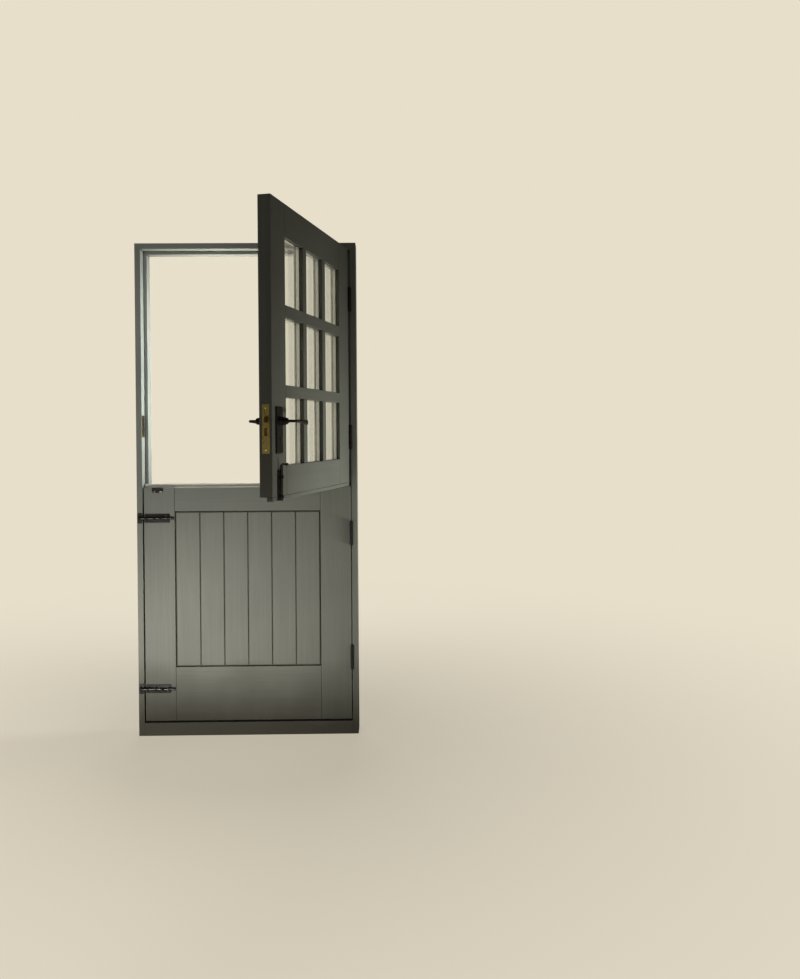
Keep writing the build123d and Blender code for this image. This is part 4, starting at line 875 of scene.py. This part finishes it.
def bead_profile():
    """(in from the rebate's side, depth y): flat against glass and rebate, a quarter round outdoors."""
    glass, back = ROOM_FACE + GLASS_IN + UNIT_THICK, BACK_FACE - BEAD_IN
    a = np.linspace(0, math.pi / 2, 7)
    curve = np.stack([(REBATE - 1.2) * np.cos(a) + 0.2, back - 5.5 + 5.5 * np.sin(a)], axis=1)
    return np.concatenate([[(0.2, glass), (REBATE, glass), (REBATE, back - 6.2),
                            (REBATE - 0.6, back - 5.8)], curve])


def bead_ring(column, row):
    """The bead's profile at the four corners of a pane, joined into a ring."""
    profile = bead_profile()
    centre_x = PANES_LEFT + column * PANE_STEP[0] + PANE_SIZE[0] / 2
    centre_z = PANES_LOW + row * PANE_STEP[1] + PANE_SIZE[1] / 2
    sx, sz = np.array([-1, 1, 1, -1])[:, None], np.array([-1, -1, 1, 1])[:, None]
    x = centre_x + sx * (PANE_SIZE[0] / 2 + REBATE - profile[:, 0])
    z = centre_z + sz * (PANE_SIZE[1] / 2 + REBATE - profile[:, 0])
    return skin(np.stack([x, np.broadcast_to(profile[:, 1], x.shape), z], axis=2), loop_rows=True)


make_piece("mitred_glazing_beads", [bead_ring(c, r) for c in range(3) for r in range(3)], "upper_leaf",
           "glazing_beads", PAINT["level", True], "painted_timber", sharp=40.0)

# %% [markdown]
# ## Backplates, lock and panes
#
# These keep their machined shapes, which are right as they are. The backplates and the brass
# plates get eased edges as the timbers did, only finer. The panes, the bright spacers that hold
# the two sheets of each sealed unit apart, the lock's case, its bolts and the square spindle stay
# as packed and take their finishes directly.

# %% Finishes on the shapes that stay
IRON_ARRIS, BRASS_ARRIS, SHORT_EDGE = 0.0004, 0.0003, 0.006
for node in ("room_backplate", "outdoor_backplate"):
    eased(node, "upper_leaf", IRON, IRON_ARRIS, SHORT_EDGE)
eased("lock_forend", "upper_leaf", BRASS, BRASS_ARRIS, SHORT_EDGE)
eased("strike_plate", "frame", BRASS, BRASS_ARRIS, SHORT_EDGE)

STAYING = {"room_panes": GLASS, "outdoor_panes": GLASS, "pane_spacers": ALUMINIUM, "lock_case": STEEL,
           "spindle": STEEL, "latch_bolt": BOLT_BRASS, "dead_bolt": BOLT_BRASS}
for node, material in STAYING.items():
    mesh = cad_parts[node].data
    mesh.materials.clear()
    mesh.materials.append(material)

# %% [markdown]
# ## Floor and air
#
# The door stands on a plain pale floor in plain pale air. A floor that took all its brightness
# from lamps would be patchy, and would throw light up at the foot of the door. So part of what is
# seen of it is a steady cream, the rest takes the door's shadow, and further off it goes over to
# the air's own cream, which leaves no horizon line. The air lights the door gently. Seen directly
# or through glass it is cream, and so it is in a mirror behind the door, while the rest of the
# studio mirrors as a dimmer grey that goes brown overhead, as round one pale backdrop. That gives
# the open leaf its dark head.

# %% A pale floor and an even sky
CREAM = linear(232, 223, 203)
STUDIO = linear(120, 113, 100)
OVERHEAD = linear(58, 50, 36)
LIGHT_PALE = (1.0, 0.94, 0.83, 1.0)
BEHIND = (-0.1, 0.995, 0.0)      # from the camera's side, the way through the opening


def seen_directly(tree):
    """1 for rays from the camera or through glass, and 1 for mirrored rays, as two values."""
    path = add(tree, "LightPath").outputs
    return sums(tree, "MAXIMUM", path["Is Camera Ray"], path["Is Transmission Ray"]), path["Is Glossy Ray"]


def air(strength=0.16):
    """A world that lights gently, looks cream, and mirrors cream behind the door, dark above."""
    world = bpy.data.worlds.new("pale_air")
    world.use_nodes = True
    tree = world.node_tree
    tree.nodes.clear()
    direct, mirrored = seen_directly(tree)
    way = add(tree, "TexCoord").outputs["Generated"]
    behind = add(tree, "VectorMath", {0: way, 1: BEHIND}, operation="DOT_PRODUCT").outputs["Value"]
    behind = sums(tree, "MAXIMUM", ranged(tree, behind, 0.84, 0.96), direct)
    rise = add(tree, "SeparateXYZ", {"Vector": way}).outputs["Z"]
    studio = mixed(tree, ranged(tree, rise, -0.02, 0.3), STUDIO, OVERHEAD)
    looks = add(tree, "Background", {"Color": mixed(tree, behind, studio, CREAM), "Strength": 1.0})
    lighting = add(tree, "Background", {"Color": LIGHT_PALE, "Strength": strength})
    seen = sums(tree, "MAXIMUM", direct, mirrored)
    both = add(tree, "MixShader", {0: seen, 1: lighting.outputs[0], 2: looks.outputs[0]})
    add(tree, "OutputWorld", {"Surface": both.outputs[0]})
    bpy.context.scene.world = world


def pale_floor(radius=9.0, rows=12, columns=64):
    """A disc of rings R·(i/n)^1.5 round the origin, cream with the door's shadow on it."""
    rings = radius * np.linspace(0, 1, rows + 1)[1:] ** 1.5
    a = np.arange(columns) * 2 * math.pi / columns
    points = np.stack([rings[:, None] * np.cos(a), rings[:, None] * np.sin(a),
                       np.zeros((rows, columns))], axis=2)
    mesh = bpy.data.meshes.new("floor")
    faces = grid_faces(rows, columns).tolist() + [list(range(columns))]
    mesh.from_pydata(points.reshape(-1, 3).tolist(), [], faces)
    floor = in_scene("floor", mesh)
    material, tree, shader, out = bare_material("pale_floor")
    place = add(tree, "TexCoord").outputs["Object"]
    direct, mirrored = seen_directly(tree)
    seen = sums(tree, "MAXIMUM", direct, mirrored)
    tone = ranged(tree, noise(tree, place, 1.3, 3.0), 0.3, 0.7)
    pale = mixed(tree, tone, linear(230, 222, 206), linear(236, 229, 214))
    fill(tree, shader, {"Base Color": mixed(tree, seen, linear(120, 114, 104), pale),
                        "Roughness": 0.75, "Specular IOR Level": 0.1})
    distance = add(tree, "VectorMath", {0: place}, operation="LENGTH").outputs["Value"]
    near = ranged(tree, distance, 0.6, 4.0, 1.0, 0.0)
    steady = sums(tree, "SUBTRACT", 1.0, times(tree, times(tree, near, near), 0.45))
    steady = times(tree, steady, seen)
    glow = add(tree, "Emission", {"Color": CREAM, "Strength": 1.0})
    both = add(tree, "MixShader", {0: steady, 1: shader.outputs[0], 2: glow.outputs[0]})
    fill(tree, out, {"Surface": both.outputs[0]})
    mesh.materials.append(material)
    finish_mesh(mesh)


air()
pale_floor()

# %% [markdown]
# ## Light
#
# The lower leaf is brightest below its middle and towards the lock side, and fades to the head
# and the foot, while the upper leaf turns away and stays dark. Six panels with narrowed beams
# stand for that. A low one makes the soft pool, a weak one beside it keeps the hinge side from
# going black, and a third touches the latch-side jamb. Behind the door a wide panel stands for
# daylight and lights the outdoor faces at a plain level. Close behind the opening an upright
# panel rakes the cheek, the stop and the top of the lower leaf, and a long one lifts the soffit.
# Only the low panel in front is mirrored, so that no lamp stands in the panes or glares on the
# open leaf.

# %% Six soft lamps
COOL = (0.97, 0.985, 1.0)


def facing(right, up, back, place):
    """The matrix whose columns are an object's three axes and its place."""
    return Matrix([[right[k], up[k], back[k], place[k]] for k in range(3)] + [[0, 0, 0, 1]])


def soft_lamp(name, place, target, size, power, colour, spread, mirrored=False):
    """A rectangular lamp that faces a target, its beam narrowed to a spread in degrees."""
    lamp = bpy.data.lights.new(name, "AREA")
    lamp.shape = "RECTANGLE"
    lamp.size, lamp.size_y = size
    lamp.energy = power
    lamp.color = colour
    lamp.spread = math.radians(spread)
    holder = in_scene(name, lamp)
    place, target = np.array(place, float), np.array(target, float)
    back, right, _ = across(place - target)
    up = np.cross(back, right)
    if up[2] < 0:
        right, up = -right, -up
    holder.visible_camera = holder.visible_transmission = False
    holder.visible_glossy = mirrored
    holder.matrix_world = facing(right, up, back, place)


soft_lamp("low_pool", (-0.75, -2.2, 0.25), (-0.28, 0.0, 0.25), (1.2, 0.4), 5.8, (1.0, 0.96, 0.88), 58.0,
          mirrored=True)
soft_lamp("low_fill", (2.1, -0.5, 0.15), (0.4, -0.25, 0.96), (0.6, 0.3), 3.5, (1.0, 0.98, 0.92), 50.0)
soft_lamp("frame_fill", (-0.45, -2.2, 1.65), (-0.42, 0.0, 1.65), (0.3, 0.6), 1.7, COOL, 46.0)
soft_lamp("far_daylight", (-0.3, 3.6, 1.3), (-0.1, 0.0, 1.2), (2.4, 1.4), 46.0, COOL, 150.0)
soft_lamp("sky", (0.33, 0.16, 1.6), (-0.43, -0.02, 1.4), (0.26, 0.85), 9.4, (0.95, 0.98, 1.0), 90.0)
soft_lamp("ledge_light", (-0.1, 0.14, 1.15), (-0.1, 0.0, 2.03), (0.9, 0.16), 4.5, (1.0, 0.97, 0.9), 60.0)

# %% [markdown]
# ## Camera
#
# The photograph was taken level, from the right of the door and about at lock height, with a
# moderately wide lens. Its place and angles were solved from the door's own corners. The picture
# was framed with the horizon above the middle, which is a small shift of the lens, not a tilt.

# %% The photograph's view
CAMERA_PLACE = (0.58611, -3.65767, 1.26846)
YAW, PITCH, ROLL = -0.0152759, -0.0132015, 0.00636883
PHOTO_HEIGHT = 979.0
FOCAL_PIXELS = 861.25
HORIZON_SHIFT = -46.28

camera = bpy.data.cameras.new("photo_view")
camera.sensor_width = 36.0
camera.lens = FOCAL_PIXELS / PHOTO_HEIGHT * camera.sensor_width
camera.shift_y = HORIZON_SHIFT / PHOTO_HEIGHT
viewer = in_scene("photo_view", camera)

# Its right, forward and up are the columns of Rz(yaw)·Rx(pitch)·Ry(roll)
turns = [Matrix.Rotation(angle, 3, axis) for angle, axis in zip((YAW, PITCH, ROLL), "ZXY")]
right, forward, up = (turns[0] @ turns[1] @ turns[2]).transposed()
viewer.matrix_world = facing(right, up, -forward, CAMERA_PLACE)
bpy.context.scene.camera = viewer
bpy.context.scene.view_settings.view_transform = "Standard"
print("lens", round(camera.lens, 2), "shift", round(camera.shift_y, 4))
